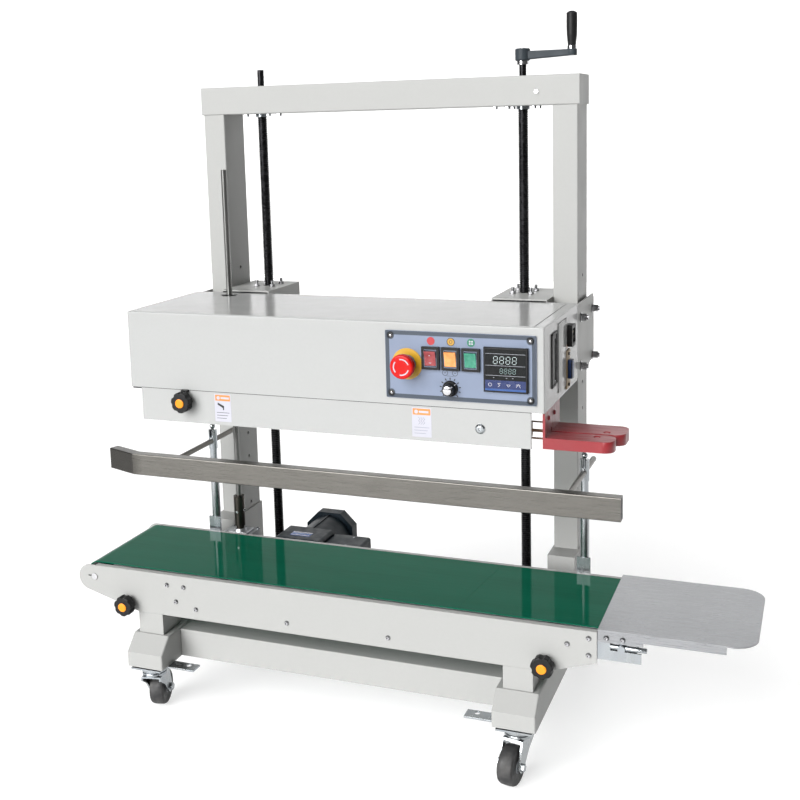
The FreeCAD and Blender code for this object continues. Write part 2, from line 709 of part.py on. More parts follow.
roller_y = BELT_MIDDLE - S.belt_width / 2 - 1
roller_width = S.belt_width + 2
sub_part("drive_roller", fuse(
    cylinder("y", S.drive_roller_x, roller_y, S.roller_z, S.roller_radius, roller_width),
    cylinder("y", S.drive_roller_x, S.plate_front - 1.5, S.roller_z, S.journal_radius, S.conveyor_width + 3)))
sub_part("tail_roller", cut(
    cylinder("y", S.tail_roller_x, roller_y, S.roller_z, S.roller_radius, roller_width),
    cylinder("y", S.tail_roller_x, roller_y - 1, S.roller_z, S.journal_radius + 0.05, roller_width + 2)))


def post(side, y):
    """Square foot that carries the conveyor on a leg."""
    return tube(side * S.post_x - S.post_width / 2, y, LEG_TOP, S.post_width, S.post_depth,
                S.plate_bottom - LEG_TOP, "z", S.sheet)


sub_part("conveyor_posts", *[post(side, y) for side in SIDES
                             for y in (S.plate_front, PLATE_BACK - S.post_depth)])

BRACKET_BOTTOM = S.plate_top - 2.5 - S.bracket_height


def tension_bracket(y):
    """Slotted plate inside the side plate's right end, open at its far end for the tail axle."""
    length = S.bracket_right - S.bracket_left
    plate = block(S.bracket_left, y, BRACKET_BOTTOM, length, S.sheet, S.bracket_height)
    slot = block(S.tail_roller_x - 18, y - 1, S.roller_z - S.slot_height / 2, 60, S.sheet + 2, S.slot_height)
    return cut(plate, slot)


def tension_parts():
    """Both brackets, the fixed tail axle, and a tension screw through the axle at each end."""
    ends = (inside_front, PLATE_BACK - 2 * S.sheet)
    parts = [tension_bracket(y) for y in ends]
    rod_ys = (inside_front + S.sheet / 2, PLATE_BACK - S.sheet * 1.5)
    axle = cylinder("y", S.tail_roller_x, S.plate_front - 4, S.roller_z, S.journal_radius,
                    S.conveyor_width + 8)
    for rod_y in rod_ys:
        start = S.tail_roller_x - 18
        axle = cut(axle, cylinder("x", start, rod_y, S.roller_z, S.tension_rod_radius, 60))
        parts.append(cylinder("x", start + 0.3, rod_y, S.roller_z, S.tension_rod_radius, 56))
    parts.append(axle)
    return parts


sub_part("belt_tensioners", *tension_parts())


def extension_table():
    """Stainless tray at the bag entry: rounded outer corners and a folded flange at front and back."""
    y = S.plate_front + 0.5
    width = S.conveyor_width - 1
    right = S.table_left + S.table_length
    body = new_body("extension_table")
    top = new_sketch(body, "XY_Plane", S.table_bottom)
    rectangle(top, S.table_left, y, S.table_length, width)
    pad = extrude(body, "Pad", top, S.table_sheet)
    edge = number_of(right)
    soften(body, pad, S.table_corner, lambda box: along("z")(box) and box.XMin > edge - 1)
    folds = new_sketch(body, "YZ_Plane", S.table_left)
    for start in (y, y + width - S.table_sheet):
        rectangle(folds, start, S.table_bottom - 12, S.table_sheet, 12.5)
    extrude(body, "Pad", folds, S.table_flange_right - S.table_left)
    tails = new_sketch(body, "YZ_Plane", S.table_left)
    for start in (y, y + width - S.table_sheet):
        rectangle(tails, start, S.table_bottom - 18, S.table_sheet, 7)
    extrude(body, "Pad", tails, 70)


extension_table()

TABLE_SCREWS = [(483.5, 257), (508.7, 257)]


def conveyor_screws():
    """Button-head screws on both faces of the conveyor, and on the table's flanges."""
    screws = [button_screw(x, S.plate_front, z, -1) for x, z in FRONT_SCREWS]
    screws += [button_screw(x, PLATE_BACK, z, 1) for x, z in FRONT_SCREWS[BEHIND_GEARBOX:]]
    for x, z in TABLE_SCREWS:
        screws.append(button_screw(x, S.plate_front + 0.5, z, -1))
        screws.append(button_screw(x, PLATE_BACK - 0.5, z, 1))
    return screws


sub_part("frame_screws", *beam_bolts(), *conveyor_screws())


def star_knob(label, x, face, z):
    """Seven-lobed clamping knob along Y, with a neck behind it and a round cap in front."""
    depth = 16
    body = new_body(label)
    disc = new_sketch(body, "XZ_Plane", -(face - 7))
    circle(disc, x, z, S.knob_radius)
    pad = extrude(body, "Pad", disc, depth)
    soften(body, pad, 2.5, lambda box: box.YLength < 0.01)
    notch = new_sketch(body, "XZ_Plane", -(face - 6))
    circle(notch, x, z + S.knob_radius + 3.2, 6)
    pocket = extrude(body, "Pocket", notch, depth + 4, backwards=True)
    axis = body.newObject("PartDesign::Line", "Spindle")
    axis.Placement = FreeCAD.Placement(FreeCAD.Vector(), FreeCAD.Rotation(FreeCAD.Vector(1, 0, 0), 90))
    bind(axis, "Placement.Base.x", x)
    bind(axis, "Placement.Base.z", z)
    lobes = body.newObject("PartDesign::PolarPattern", "Lobes")
    lobes.Originals = [pocket]
    lobes.Axis = (axis, [""])
    lobes.Angle = 360
    lobes.Occurrences = 7
    body.Tip = lobes
    neck = new_sketch(body, "XZ_Plane", -face + 0.3)
    circle(neck, x, z, 8)
    extrude(body, "Pad", neck, 8)
    cap = new_sketch(body, "XZ_Plane", -(face - 7 - depth + 1))
    circle(cap, x, z, 7.8)
    extrude(body, "Pad", cap, 2.4)


KNOB_X = 386
KNOB_Z = 202
star_knob("conveyor_knob_left", Size(-KNOB_X, f"({-KNOB_X})"), S.plate_front, KNOB_Z)
star_knob("conveyor_knob_right", Size(KNOB_X, f"({KNOB_X})"), S.plate_front, KNOB_Z)

# ---------------------------------------------------------------- drive

GEAR_HEAD_FRONT = PLATE_BACK + 3


def gearmotor():
    """Gear head, motor, fan flange and terminal box in line along Y behind the conveyor."""
    half = S.gear_head_size / 2
    depth = 64
    head = round_edges(block(S.motor_x - half, GEAR_HEAD_FRONT, S.motor_z - half, S.gear_head_size, depth,
                             S.gear_head_size), 6, along("y"))
    motor = cylinder("y", S.motor_x, GEAR_HEAD_FRONT + depth, S.motor_z, S.motor_radius, 88)
    rib = block(S.motor_x - 1.5, GEAR_HEAD_FRONT + depth, S.motor_z + S.motor_radius - 3, 3, 88, 5)
    fan_half = S.fan_size / 2
    fan = block(S.motor_x - fan_half, GEAR_HEAD_FRONT + depth + 88, S.motor_z - fan_half, S.fan_size, 24,
                S.fan_size)
    doc.recompute()
    chamfer = doc.addObject("Part::Chamfer", "FanFlange")
    chamfer.Base = fan
    chamfer.Edges = [(index, 26, 26) for index, edge in enumerate(fan.Shape.Edges, start=1)
                     if along("y")(edge.BoundBox)]
    box = round_edges(block(S.motor_x + half - 2, GEAR_HEAD_FRONT + 6, S.motor_z - 2, 78, 62, 42), 5,
                      along("y"))
    inside = block(S.motor_x, GEAR_HEAD_FRONT, S.motor_z - 40, half, 100, 100)
    return [fuse(head, motor, rib), chamfer, cut(box, inside)]


def motor_mount():
    """Plate between the rear side plate and the gear head."""
    half = S.gear_head_size / 2
    return block(S.motor_x - half, PLATE_BACK, S.motor_z - half + 2, S.gear_head_size, 3,
                 S.gear_head_size - 6)


sub_part("gearmotor", motor_mount(), *gearmotor())


def drive_gearbox():
    """Bevel gearbox behind the conveyor, with its cast bearing plate on top and a bolt boss."""
    x = S.shaft_x - 34.5
    front = PLATE_BACK
    depth = 50
    case = block(x + 4, front, S.gearbox_top - 72, 55, depth - 2, 66)
    plate = round_edges(block(x, front + 2.5, S.gearbox_top - 6, 62, depth - 2.5, 6), 3, along("z"))
    boss = cone("z", S.shaft_x, S.shaft_y, S.gearbox_top, 14.5, 11.5, 9)
    bore = cylinder("z", S.shaft_x, S.shaft_y, S.gearbox_top - 40, 8.05, 60)
    return [cut(case, bore), cut(fuse(plate, boss), bore)]


sub_part("drive_gearbox", *drive_gearbox())

JOINT_BOTTOM = S.gearbox_top + 15


def drive_shaft():
    """Long shaft with the universal joint at its foot and the gearbox journal below."""
    y = S.shaft_y
    half = S.joint_radius
    lower = cylinder("z", S.shaft_x, y, JOINT_BOTTOM, half, 26)
    upper = cylinder("z", S.shaft_x, y, JOINT_BOTTOM + 34, half, 26)
    lower_fork = cut(cylinder("z", S.shaft_x, y, JOINT_BOTTOM + 25, half, 12),
                     block(S.shaft_x - half, y - 4.5, JOINT_BOTTOM + 26, 2 * half, 9, 12))
    upper_fork = cut(cylinder("z", S.shaft_x, y, JOINT_BOTTOM + 23, half, 12),
                     block(S.shaft_x - 4.5, y - half, JOINT_BOTTOM + 22, 9, 2 * half, 12))
    cross = [cylinder("x", S.shaft_x - half + 1, y, JOINT_BOTTOM + 30, 3, 2 * half - 2),
             cylinder("y", S.shaft_x, y - half + 1, JOINT_BOTTOM + 30, 3, 2 * half - 2),
             block(S.shaft_x - 4.5, y - 4.5, JOINT_BOTTOM + 25, 9, 9, 10)]
    journal = cylinder("z", S.shaft_x, y, S.gearbox_top - 30, 8, 46)
    rod = cylinder("z", S.shaft_x, y, JOINT_BOTTOM + 50, S.shaft_radius, S.shaft_top - JOINT_BOTTOM - 50)
    return fuse(lower, upper, lower_fork, upper_fork, *cross, journal, rod)


sub_part("drive_shaft", drive_shaft())

# ---------------------------------------------------------------- bag guide

GUIDE_XS = (S.guide_left_x, S.guide_right_x)


def guide_post(x):
    """Outer tube on an angle bracket behind the rear side plate."""
    y = S.guide_post_y
    foot = S.plate_top - 22
    pole = cylinder("z", x, y, foot, S.guide_post_radius, S.guide_tube_top - foot)
    bore = cylinder("z", x, y, foot + 3, S.guide_rod_bore, S.guide_tube_top - foot)
    plate = block(x - 12, PLATE_BACK, S.plate_top - 22, 24, 3, 50)
    return cut(fuse(pole, plate), bore)


sub_part("guide_posts", *[guide_post(x) for x in GUIDE_XS])


def guide_clamp(x):
    """Inner tube of the telescoping post, its forked top with the bar's rod through it, and an eye screw."""
    y = S.guide_post_y
    radius = S.guide_rod_bore - 0.06
    low = S.guide_tube_top - 90
    stem = cylinder("z", x, y, low, radius, S.rod_z - 10 - low)
    head = cylinder("z", x, y, S.rod_z - 16, S.guide_post_radius, S.guide_post_top - S.rod_z + 16)
    notch = block(x - 3.5, y - 10, S.rod_z + 8, 7, 20, 40)
    rod = cylinder("y", x, y - 20, S.rod_z, S.rod_radius + 0.05, 40)
    stud = cylinder("z", x, y, S.rod_z + 6, 3, S.guide_post_top - S.rod_z + 3)
    eye = ball(x, y, S.guide_post_top + 7, 5.5)
    return fuse(cut(fuse(stem, head), notch, rod), stud, eye)


sub_part("guide_clamps", *[guide_clamp(x) for x in GUIDE_XS])

BAR_BACK = S.bar_front + S.bar_depth


def guide_bar():
    """Rectangular tube with its left end swept back, carried by two rods through the clamps."""
    wall = S.thin_sheet
    angle = math.radians(DIMENSIONS["bar_bend"])
    sin, cos = math.sin(angle), math.cos(angle)
    along_x = S.bar_tail * cos
    along_y = S.bar_tail * sin
    depth = S.bar_depth
    offset = depth * math.tan(angle / 2)
    outer = [(S.bar_right, S.bar_front), (S.bar_left, S.bar_front),
             (S.bar_left - along_x, S.bar_front + along_y),
             (S.bar_left - along_x + depth * sin, S.bar_front + along_y + depth * cos),
             (S.bar_left + offset, BAR_BACK), (S.bar_right, BAR_BACK)]
    thin = wall * math.tan(angle / 2)
    inner = [(S.bar_right + 1, S.bar_front + wall), (S.bar_left + thin, S.bar_front + wall),
             (S.bar_left - along_x - 2 * cos + wall * sin, S.bar_front + along_y + 2 * sin + wall * cos),
             (S.bar_left - along_x - 2 * cos + (depth - wall) * sin,
              S.bar_front + along_y + 2 * sin + (depth - wall) * cos),
             (S.bar_left + offset - thin, BAR_BACK - wall), (S.bar_right + 1, BAR_BACK - wall)]
    body = doc.addObject("PartDesign::Body", "Bar")
    outline = new_sketch(body, "XY_Plane", S.bar_bottom)
    polygon(outline, outer)
    pad = extrude(body, "Pad", outline, S.bar_height)
    soften(body, pad, 1.6, lambda box: box.ZLength < 0.01 and box.XLength > 30)
    hollow = new_sketch(body, "XY_Plane", S.bar_bottom + wall)
    polygon(hollow, inner)
    extrude(body, "Pocket", hollow, S.bar_height - 2 * wall, backwards=True)
    rods = [cylinder("y", x, BAR_BACK, S.rod_z, S.rod_radius, 285 - BAR_BACK) for x in GUIDE_XS]
    return [body, *rods]


sub_part("guide_bar", *guide_bar())

# ---------------------------------------------------------------- head

HEAD_TOP = S.head_bottom + S.head_height
head_half = S.head_half_length


def head_hood():
    """Folded cover, open underneath, with the shaft hole on top and the fan's window on the right."""
    wall = S.thin_sheet
    body = new_body("head_hood")
    base = new_sketch(body, "XY_Plane", S.head_bottom)
    rectangle(base, -head_half, 0, 2 * head_half, S.head_depth)
    pad = extrude(body, "Pad", base, S.head_height)
    low = number_of(S.head_bottom)
    soften(body, pad, 2.2, lambda box: box.ZMax > low + 1)
    inside = new_sketch(body, "XY_Plane", S.head_bottom - 1)
    rectangle(inside, wall - head_half, wall, 2 * head_half - 2 * wall, S.head_depth - 2 * wall)
    extrude(body, "Pocket", inside, S.head_height - wall + 1, backwards=True)
    shaft = new_sketch(body, "XY_Plane", HEAD_TOP - 10)
    circle(shaft, S.shaft_x, S.shaft_y, 15)
    extrude(body, "Pocket", shaft, 20, backwards=True)
    vents = new_sketch(body, "YZ_Plane", head_half - 10)
    rectangle(vents, 49.8, S.head_bottom + 30.8, 33.4, 85.4)
    extrude(body, "Pocket", vents, 20, backwards=True)
    window = new_sketch(body, "XZ_Plane", -10)
    rectangle(window, S.controller_x - 35, S.panel_z - 35, 70, 70)
    circle(window, S.stop_x, S.panel_z + 1.6, 11)
    extrude(body, "Pocket", window, 20, backwards=True)
    slots = new_sketch(body, "XZ_Plane", -(S.head_depth + 10))
    for side in SIDES:
        middle = side * (head_half - 0.4 - 1.5 * S.sheet)
        rectangle(slots, middle - S.sheet / 2 - 0.3, S.head_bottom + 6, S.sheet + 0.6, S.head_height - 13)
    extrude(body, "Pocket", slots, 20, backwards=True)


head_hood()


def wheel_spots():
    """Centres of the four band wheels, two each side of the seal line."""
    reach = S.band_radius + S.band_thickness + S.band_gap / 2
    return [(x, S.seal_y + side * reach) for side in SIDES for x in (S.band_left, S.band_right)]


def head_base():
    """Plate that closes the hood and carries the band wheels, with their bushes and the shaft bush."""
    plate = block(1.6 - head_half, 1.6, S.head_bottom + 1, 2 * head_half - 3.2, S.head_depth - 3.2, 4)
    holes = [cylinder("z", x, y, S.head_bottom, 6.05, 8) for x, y in wheel_spots()]
    opening = cylinder("z", S.shaft_x, S.shaft_y, S.head_bottom - 1, 15, 10)
    return cut(plate, opening, *holes)


sub_part("head_base", head_base())


def side_bracket(side):
    """Plate from inside the hood to behind the column, with its rear corners cut off."""
    outer_x = side * (head_half - 0.4)
    thickness = S.sheet
    low, high = S.head_bottom + 2, HEAD_TOP - 3
    body = doc.addObject("PartDesign::Body", "Bracket")
    ear = new_sketch(body, "YZ_Plane", outer_x - thickness if side > 0 else outer_x)
    polygon(ear, [(S.head_depth + 0.3, low), (S.flange_back - 60, low), (S.flange_back, low + 22),
                  (S.flange_back, high - 8), (S.flange_back - 8, high), (S.head_depth + 0.3, high)])
    extrude(body, "Pad", ear, thickness)
    tongue = new_sketch(body, "YZ_Plane", outer_x - 2 * thickness if side > 0 else outer_x + thickness)
    rectangle(tongue, S.head_depth - 60, low + 5, 75, high - low - 10)
    extrude(body, "Pad", tongue, thickness)
    return body


BRACKET_BOLTS = [(y, z) for y in (281, 385) for z in (705, 617)]


def slide_pads():
    """Nylon pads in front of and behind each column, on the side brackets."""
    inner = S.column_x - 14
    outer = head_half - 0.4 - S.sheet
    pads = []
    for side in SIDES:
        x = inner if side > 0 else -outer
        for y, width in ((S.column_y - S.column_depth / 2 - 17.5, 17),
                         (S.column_y + S.column_depth / 2 + 0.5, 20)):
            pads.append(block(x, y, S.head_bottom + 8, outer - inner, width, 116))
    return pads


sub_part("side_brackets", *[side_bracket(side) for side in SIDES], *slide_pads())


def lift_carriage(side):
    """Box behind the head that holds a lead nut; open at the front, against the hood."""
    wall = S.sheet
    inner = S.column_x - S.column_width / 2 - 0.6
    x = inner - S.carriage_width if side > 0 else -inner
    depth = S.carriage_back - S.head_depth
    low = S.head_bottom + 60
    shell = block(x, S.head_depth, low, S.carriage_width, depth, S.carriage_top - low)
    hollow = block(x + wall, S.head_depth - 1, low + wall, S.carriage_width - 2 * wall, depth - wall + 1,
                   S.carriage_top - low - 2 * wall)
    bore = cylinder("z", side * S.screw_x, S.column_y, low - 1, S.screw_radius + 3, S.carriage_top - low + 2)
    return cut(round_edges(shell, 2, along("z")), hollow, bore)


def lead_nut(side):
    """Flanged nut under the carriage's top plate."""
    x = side * S.screw_x
    top = S.carriage_top - S.sheet
    flange = block(x - 25, S.column_y - 27, top - 8, 50, 54, 8)
    barrel = cylinder("z", x, S.column_y, top - 34, 16, 27)
    bore = cylinder("z", x, S.column_y, top - 40, S.screw_radius + S.nut_clearance, 60)
    return cut(fuse(flange, barrel), bore)


sub_part("lift_carriages", *[lift_carriage(side) for side in SIDES], *[lead_nut(side) for side in SIDES])


def head_bolts():
    """Bracket bolts with their washers, and the four nut bolts on each carriage."""
    parts = []
    outer = head_half - 0.4
    for side in SIDES:
        for y, z in BRACKET_BOLTS:
            stack = [(8.5, 1.5, cylinder), (6.5, 6.5, hexagon), (6.5, 11, hexagon), (4, 14, cylinder)]
            pieces = [shape("x", outer if side > 0 else -outer - reach, y, z, radius, reach)
                      for radius, reach, shape in stack]
            parts.append(fuse(*pieces))
        for dx in (-17, 17):
            for dy in (-20, 20):
                spot = (side * S.screw_x + dx, S.column_y + dy)
                parts.append(fuse(cylinder("z", *spot, S.carriage_top, 3, 12),
                                  hexagon("z", *spot, S.carriage_top, 5.5, 5),
                                  cylinder("z", *spot, S.carriage_top, 6, 1.2)))
    return parts


sub_part("head_bolts", *head_bolts())


def head_guard():
    """Removable front cover of the bands: a tray with short returns at the bottom and the left."""
    wall = S.thin_sheet
    half = S.guard_half_length
    low = S.head_bottom - S.guard_height
    front = round_edges(block(-half, 0, low, 2 * half, S.guard_side, S.guard_height), 2,
                        lambda box: along("z")(box) and box.YMin < 1)
    hollow = block(wall - half, wall, low - 1, 2 * half - wall + 1, S.guard_side + 1,
                   S.guard_height - wall + 1)
    relief = block(-half - 1, 4, S.head_bottom - 2, 2 * half + 2, S.guard_side, 3)
    return cut(front, hollow, relief)


sub_part("head_guard", head_guard())


def control_panel():
    """Front plate for the controls, with rounded corners and its cut-outs."""
    body = doc.addObject("PartDesign::Body", "Panel")
    face = new_sketch(body, "XZ_Plane")
    rectangle(face, S.panel_x - S.panel_length / 2, S.panel_z - S.panel_height / 2, S.panel_length,
              S.panel_height)
    pad = extrude(body, "Pad", face, S.panel_sheet)
    soften(body, pad, 3, along("y"))
    holes = new_sketch(body, "XZ_Plane", -1)
    rectangle(holes, S.controller_x - 34.2, S.panel_z - 34.2, 68.4, 68.4)
    circle(holes, S.stop_x, S.panel_z + 1.6, 10)
    extrude(body, "Pocket", holes, 10, backwards=True)
    return body


PANEL_FACE = -S.panel_sheet
ROCKERS = ("power", "drive", "fan")
ROCKER_PIVOT = 4
ROCKER_PIN = 0.9


def temperature_controller():
    """Square bezel with the instrument's case behind it."""
    half = S.controller_size / 2
    bezel = block(S.controller_x - half, PANEL_FACE - 6, S.panel_z - half, S.controller_size, 6,
                  S.controller_size)
    case = block(S.controller_x - 33.5, PANEL_FACE - 0.5, S.panel_z - 33.5, 67, S.controller_depth, 67)
    return fuse(round_edges(bezel, 1.5, lambda box: box.YMax < number_of(PANEL_FACE) - 5), case)


sub_part("temperature_controller", temperature_controller())


def switch_frame(index):
    """Bezel round one rocker, with the pin that the rocker tilts on."""
    x = S.rocker_x + index * S.rocker_pitch
    outer = block(x - 14.5, PANEL_FACE - 5, S.rocker_z - 18.3, 29, 5, 36.6)
    opening = block(x - S.rocker_width / 2 - 0.5, PANEL_FACE - 6, S.rocker_z - S.rocker_length / 2 - 1.5,
                    S.rocker_width + 1, 8, S.rocker_length + 3)
    pin = cylinder("x", x - 12, PANEL_FACE - ROCKER_PIVOT, S.rocker_z, ROCKER_PIN, 24)
    return fuse(cut(round_edges(outer, 1.5, along("y")), opening), pin)


def stop_collar():
    """Ring and collar that guide the emergency stop's stem."""
    ring = cylinder("y", S.stop_x, PANEL_FACE - 1, S.panel_z + 1.6, 25.5, 1)
    collar = cone("y", S.stop_x, PANEL_FACE - 12, S.panel_z + 1.6, 13, 15, 11.2)
    bore = cylinder("y", S.stop_x, PANEL_FACE - 20, S.panel_z + 1.6, 8.05, 30)
    return cut(fuse(ring, collar), bore)


sub_part("control_panel", control_panel(), stop_collar(), *[switch_frame(index)
                                                            for index in range(len(ROCKERS))])


def stop_cap():
    """Mushroom head on its stem."""
    z = S.panel_z + 1.6
    head = round_edges(cylinder("y", S.stop_x, PANEL_FACE - 30, z, S.stop_radius, 11), 3.5,
                       lambda box: box.YLength < 0.01 and box.YMin < number_of(PANEL_FACE) - 25)
    stem = cylinder("y", S.stop_x, PANEL_FACE - 20, z, 8, 20)
    return fuse(head, stem)


sub_part("e_stop_cap", stop_cap())


def rocker(label, index):
    """Rocker with its two faces tilted about the middle, bored for its pin."""
    x = S.rocker_x + index * S.rocker_pitch
    half = S.rocker_length / 2
    body = new_body(label)
    profile = new_sketch(body, "YZ_Plane", x - S.rocker_width / 2)
    polygon(profile, [(PANEL_FACE - 1.2, S.rocker_z - half), (PANEL_FACE - 5, S.rocker_z - half),
                      (PANEL_FACE - 6, S.rocker_z), (PANEL_FACE - 9.5, S.rocker_z + half),
                      (PANEL_FACE - 5.7, S.rocker_z + half), (PANEL_FACE - 0.5, S.rocker_z)])
    extrude(body, "Pad", profile, S.rocker_width)
    bore = new_sketch(body, "YZ_Plane", x - S.rocker_width / 2 - 1)
    circle(bore, PANEL_FACE - ROCKER_PIVOT, S.rocker_z, ROCKER_PIN + 0.15)
    extrude(body, "Pocket", bore, S.rocker_width + 2, backwards=True)


for index, name in enumerate(ROCKERS):
    rocker(f"rocker_{name}", index)


def speed_knob():
    """Skirted knob on its shaft."""
    skirt = cone("y", S.speed_x, PANEL_FACE - 4.3, S.speed_z, S.speed_radius - 1, S.speed_radius, 4)
    grip = cone("y", S.speed_x, PANEL_FACE - 17, S.speed_z, 9, 10, 13)
    cap = cylinder("y", S.speed_x, PANEL_FACE - 18, S.speed_z, 6.5, 2)
    return fuse(skirt, grip, cap)


sub_part("speed_knob", speed_knob())


def side_sockets():
    """Power inlet, signal socket, blank cover plate and fan grille on the hood's right side."""
    x = head_half
    inlet = cut(round_edges(block(x, 165, 673, 9, 28, 37), 4, along("x")),
                block(x + 3, 170, 679, 10, 18, 25))
    pins = [block(x + 2, y, z, 6, 2, 4) for y, z in ((174, 686), (183, 686), (178.5, 696))]
    flange = block(x, 152, 603, 2, 28, 65)
    shell = round_edges(block(x + 2, 158, 620, 8, 16, 32), 3, along("x"))
    cover = block(x, 96.5, S.head_bottom + 11.5, 1.2, 59.5, 115)
    grille = block(x - 4, 50, S.head_bottom + 31, 5, 33, 85)
    slot = block(x - 5, 68, S.head_bottom + 37, 8, 7, 70)
    return [fuse(inlet, *pins), fuse(flange, shell), cover, cut(grille, slot)]


sub_part("side_sockets", *side_sockets())


def inlet_half(side):
    """One finger of the bag inlet, rounded at its tip; the rear one is longer and wider."""
    reach, length = ((S.inlet_rear_width, S.inlet_rear_length) if side > 0 else
                     (S.inlet_front_width, S.inlet_front_length))
    low_y = S.seal_y + S.inlet_slit / 2 if side > 0 else S.seal_y - reach
    body = doc.addObject("PartDesign::Body", "Finger")
    plan = new_sketch(body, "XY_Plane", S.inlet_bottom)
    rectangle(plan, S.inlet_left, low_y, length, reach - S.inlet_slit / 2)
    pad = extrude(body, "Pad", plan, S.inlet_height)
    tip = number_of(S.inlet_left + length)
    soften(body, pad, 17, lambda box: along("z")(box) and box.XMin > tip - 1)
    return body


INLET_SCREWS = [(80.6, -15), (90.6, 15)]


def inlet_guide():
    """Two-finger bag inlet with the upright plate that bolts it under the head."""
    plate = block(S.inlet_left, S.seal_y - S.inlet_front_width, S.inlet_bottom + 1, 4,
                  S.inlet_front_width + S.inlet_rear_width, S.head_bottom - S.inlet_bottom)
    slit = block(S.inlet_left - 1, S.seal_y - S.inlet_slit / 2, S.inlet_bottom - 1, 8, S.inlet_slit,
                 S.inlet_height + 8)
    top = S.inlet_bottom + S.inlet_height
    spots = [(S.inlet_left + along_x, S.seal_y + across) for along_x, across in INLET_SCREWS]
    recesses = [cone("z", x, y, top - 3, 4, 6.5, 3.1) for x, y in spots]
    fingers = [inlet_half(side) for side in SIDES]
    tips = [cylinder("z", x, y, top - 3.2, 3.4, 2.4) for x, y in spots]
    screws = [cone("x", S.inlet_left + 4, S.seal_y + side * 19, 583, 4.5, 2.5, 3) for side in SIDES]
    return fuse(cut(fuse(plate, *fingers), slit, *recesses), *tips, *screws)


sub_part("inlet_guide", inlet_guide())


def guide_strips():
    """Thin strips that lead the bag's edge from the inlet to the bands."""
    strips = []
    for low, height, end in ((S.inlet_bottom + 3, 3, 377), (S.inlet_bottom + 15, 5, 377),
                             (S.inlet_bottom + 31, 2.5, 373.3)):
        strips.append(block(S.strip_left, S.seal_y - S.strip_thickness / 2, low, end - S.strip_left,
                            S.strip_thickness, height))
    return strips


def seal_bands():
    """Sealing band and feed belt of each side, and the guide strips that end at the inlet."""
    parts = []
    for side in SIDES:
        reach = S.band_radius + S.band_thickness + S.band_gap / 2
        y = S.seal_y + side * reach
        for low, height in ((S.band_bottom, S.band_height), (S.feed_bottom, S.feed_height)):
            parts.append(loop(S.band_left, S.band_right, y, low, S.band_radius, S.band_thickness, height))
    return parts + guide_strips()


sub_part("seal_bands", *seal_bands())


def seal_blocks():
    """Heater pair and cooler pair that press the bands together, hung from the base plate."""
    parts = []
    gap = S.band_gap / 2 + S.band_thickness + 0.3
    for side in SIDES:
        for x, length in ((90, 130), (-70, 130)):
            width = 14
            y = S.seal_y + gap if side > 0 else S.seal_y - gap - width
            shoe = block(x, y, S.band_bottom + 1, length, width, 10)
            hanger = block(x + 20, y + 2, S.band_bottom + 10, length - 40, 10,
                           S.head_bottom - S.band_bottom - 9)
            parts.append(fuse(shoe, hanger))
    return parts


sub_part("seal_blocks", *seal_blocks())


def band_wheel(label, x, y):
    """Wheel for the sealing band and the feed belt, with its shaft up through the base plate."""
    radius = S.band_radius - 0.3
    sub_part(label, fuse(
        cylinder("z", x, y, S.feed_bottom - 0.5, radius, S.band_bottom + S.band_height - S.feed_bottom + 1),
        cylinder("z", x, y, S.feed_bottom - 0.5, 6, S.head_bottom - S.feed_bottom + 24)))


WHEEL_NAMES = ("front_left", "front_right", "rear_left", "rear_right")
for name, (x, y) in zip(WHEEL_NAMES, wheel_spots()):
    band_wheel(f"band_wheel_{name}", x, y)

star_knob("guard_knob", Size(-266, "(-266)"), Size(0, "0"), 579)

# ---------------------------------------------------------------- checks and export

doc.recompute()
failed = [thing.Name for thing in doc.Objects if "Invalid" in thing.State or "Error" in thing.State]
assert not failed, failed
os.makedirs("parts", exist_ok=True)
whole = None
for thing in SUB_PARTS:
    shape = thing.Shape
    assert not shape.isNull() and shape.isValid(), thing.Label
    shape.exportStep(f"parts/{thing.Label}.step")
    whole = shape.BoundBox if whole is None else whole.united(shape.BoundBox)
    print(f"{thing.Label:28s} solids {len(shape.Solids):3d} volume {shape.Volume / 1000:10.1f} cm3")
print("nodes", len(SUB_PARTS), "box", whole)
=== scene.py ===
import json
import math

import bmesh
import bpy
from mathutils import Matrix, Vector


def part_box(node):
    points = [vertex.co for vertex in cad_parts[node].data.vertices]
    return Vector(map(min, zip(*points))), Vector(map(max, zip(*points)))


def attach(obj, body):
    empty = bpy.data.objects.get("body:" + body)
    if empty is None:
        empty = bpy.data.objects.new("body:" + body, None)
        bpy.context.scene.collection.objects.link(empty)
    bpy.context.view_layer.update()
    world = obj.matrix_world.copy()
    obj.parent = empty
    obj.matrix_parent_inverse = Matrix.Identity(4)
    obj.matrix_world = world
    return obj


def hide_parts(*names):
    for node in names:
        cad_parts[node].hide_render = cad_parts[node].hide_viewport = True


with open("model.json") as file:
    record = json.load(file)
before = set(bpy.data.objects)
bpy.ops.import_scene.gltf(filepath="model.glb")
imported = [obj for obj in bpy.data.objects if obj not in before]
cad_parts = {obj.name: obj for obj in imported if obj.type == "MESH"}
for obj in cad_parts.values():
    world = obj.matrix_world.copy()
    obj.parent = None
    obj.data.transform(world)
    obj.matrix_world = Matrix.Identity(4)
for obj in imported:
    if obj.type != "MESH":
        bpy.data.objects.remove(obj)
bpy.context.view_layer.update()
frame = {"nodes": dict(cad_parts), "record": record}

# ---- frame

MM = 0.001
NODES = frame["nodes"]
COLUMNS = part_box("columns")
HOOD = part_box("head_hood")
CORNERS = ("front_left", "front_right", "rear_left", "rear_right")
STAR_KNOBS = ("conveyor_knob_left", "conveyor_knob_right", "guard_knob")
# the machine frame's origin: midway between the columns, at the head's front face, on the floor
ORIGIN = Vector(((COLUMNS[0][0] + COLUMNS[1][0]) / 2, HOOD[0][1], 0))


def at(point):
    """Point of the machine frame (millimetres) in the part's frame (metres)."""
    return ORIGIN + Vector(point) * MM


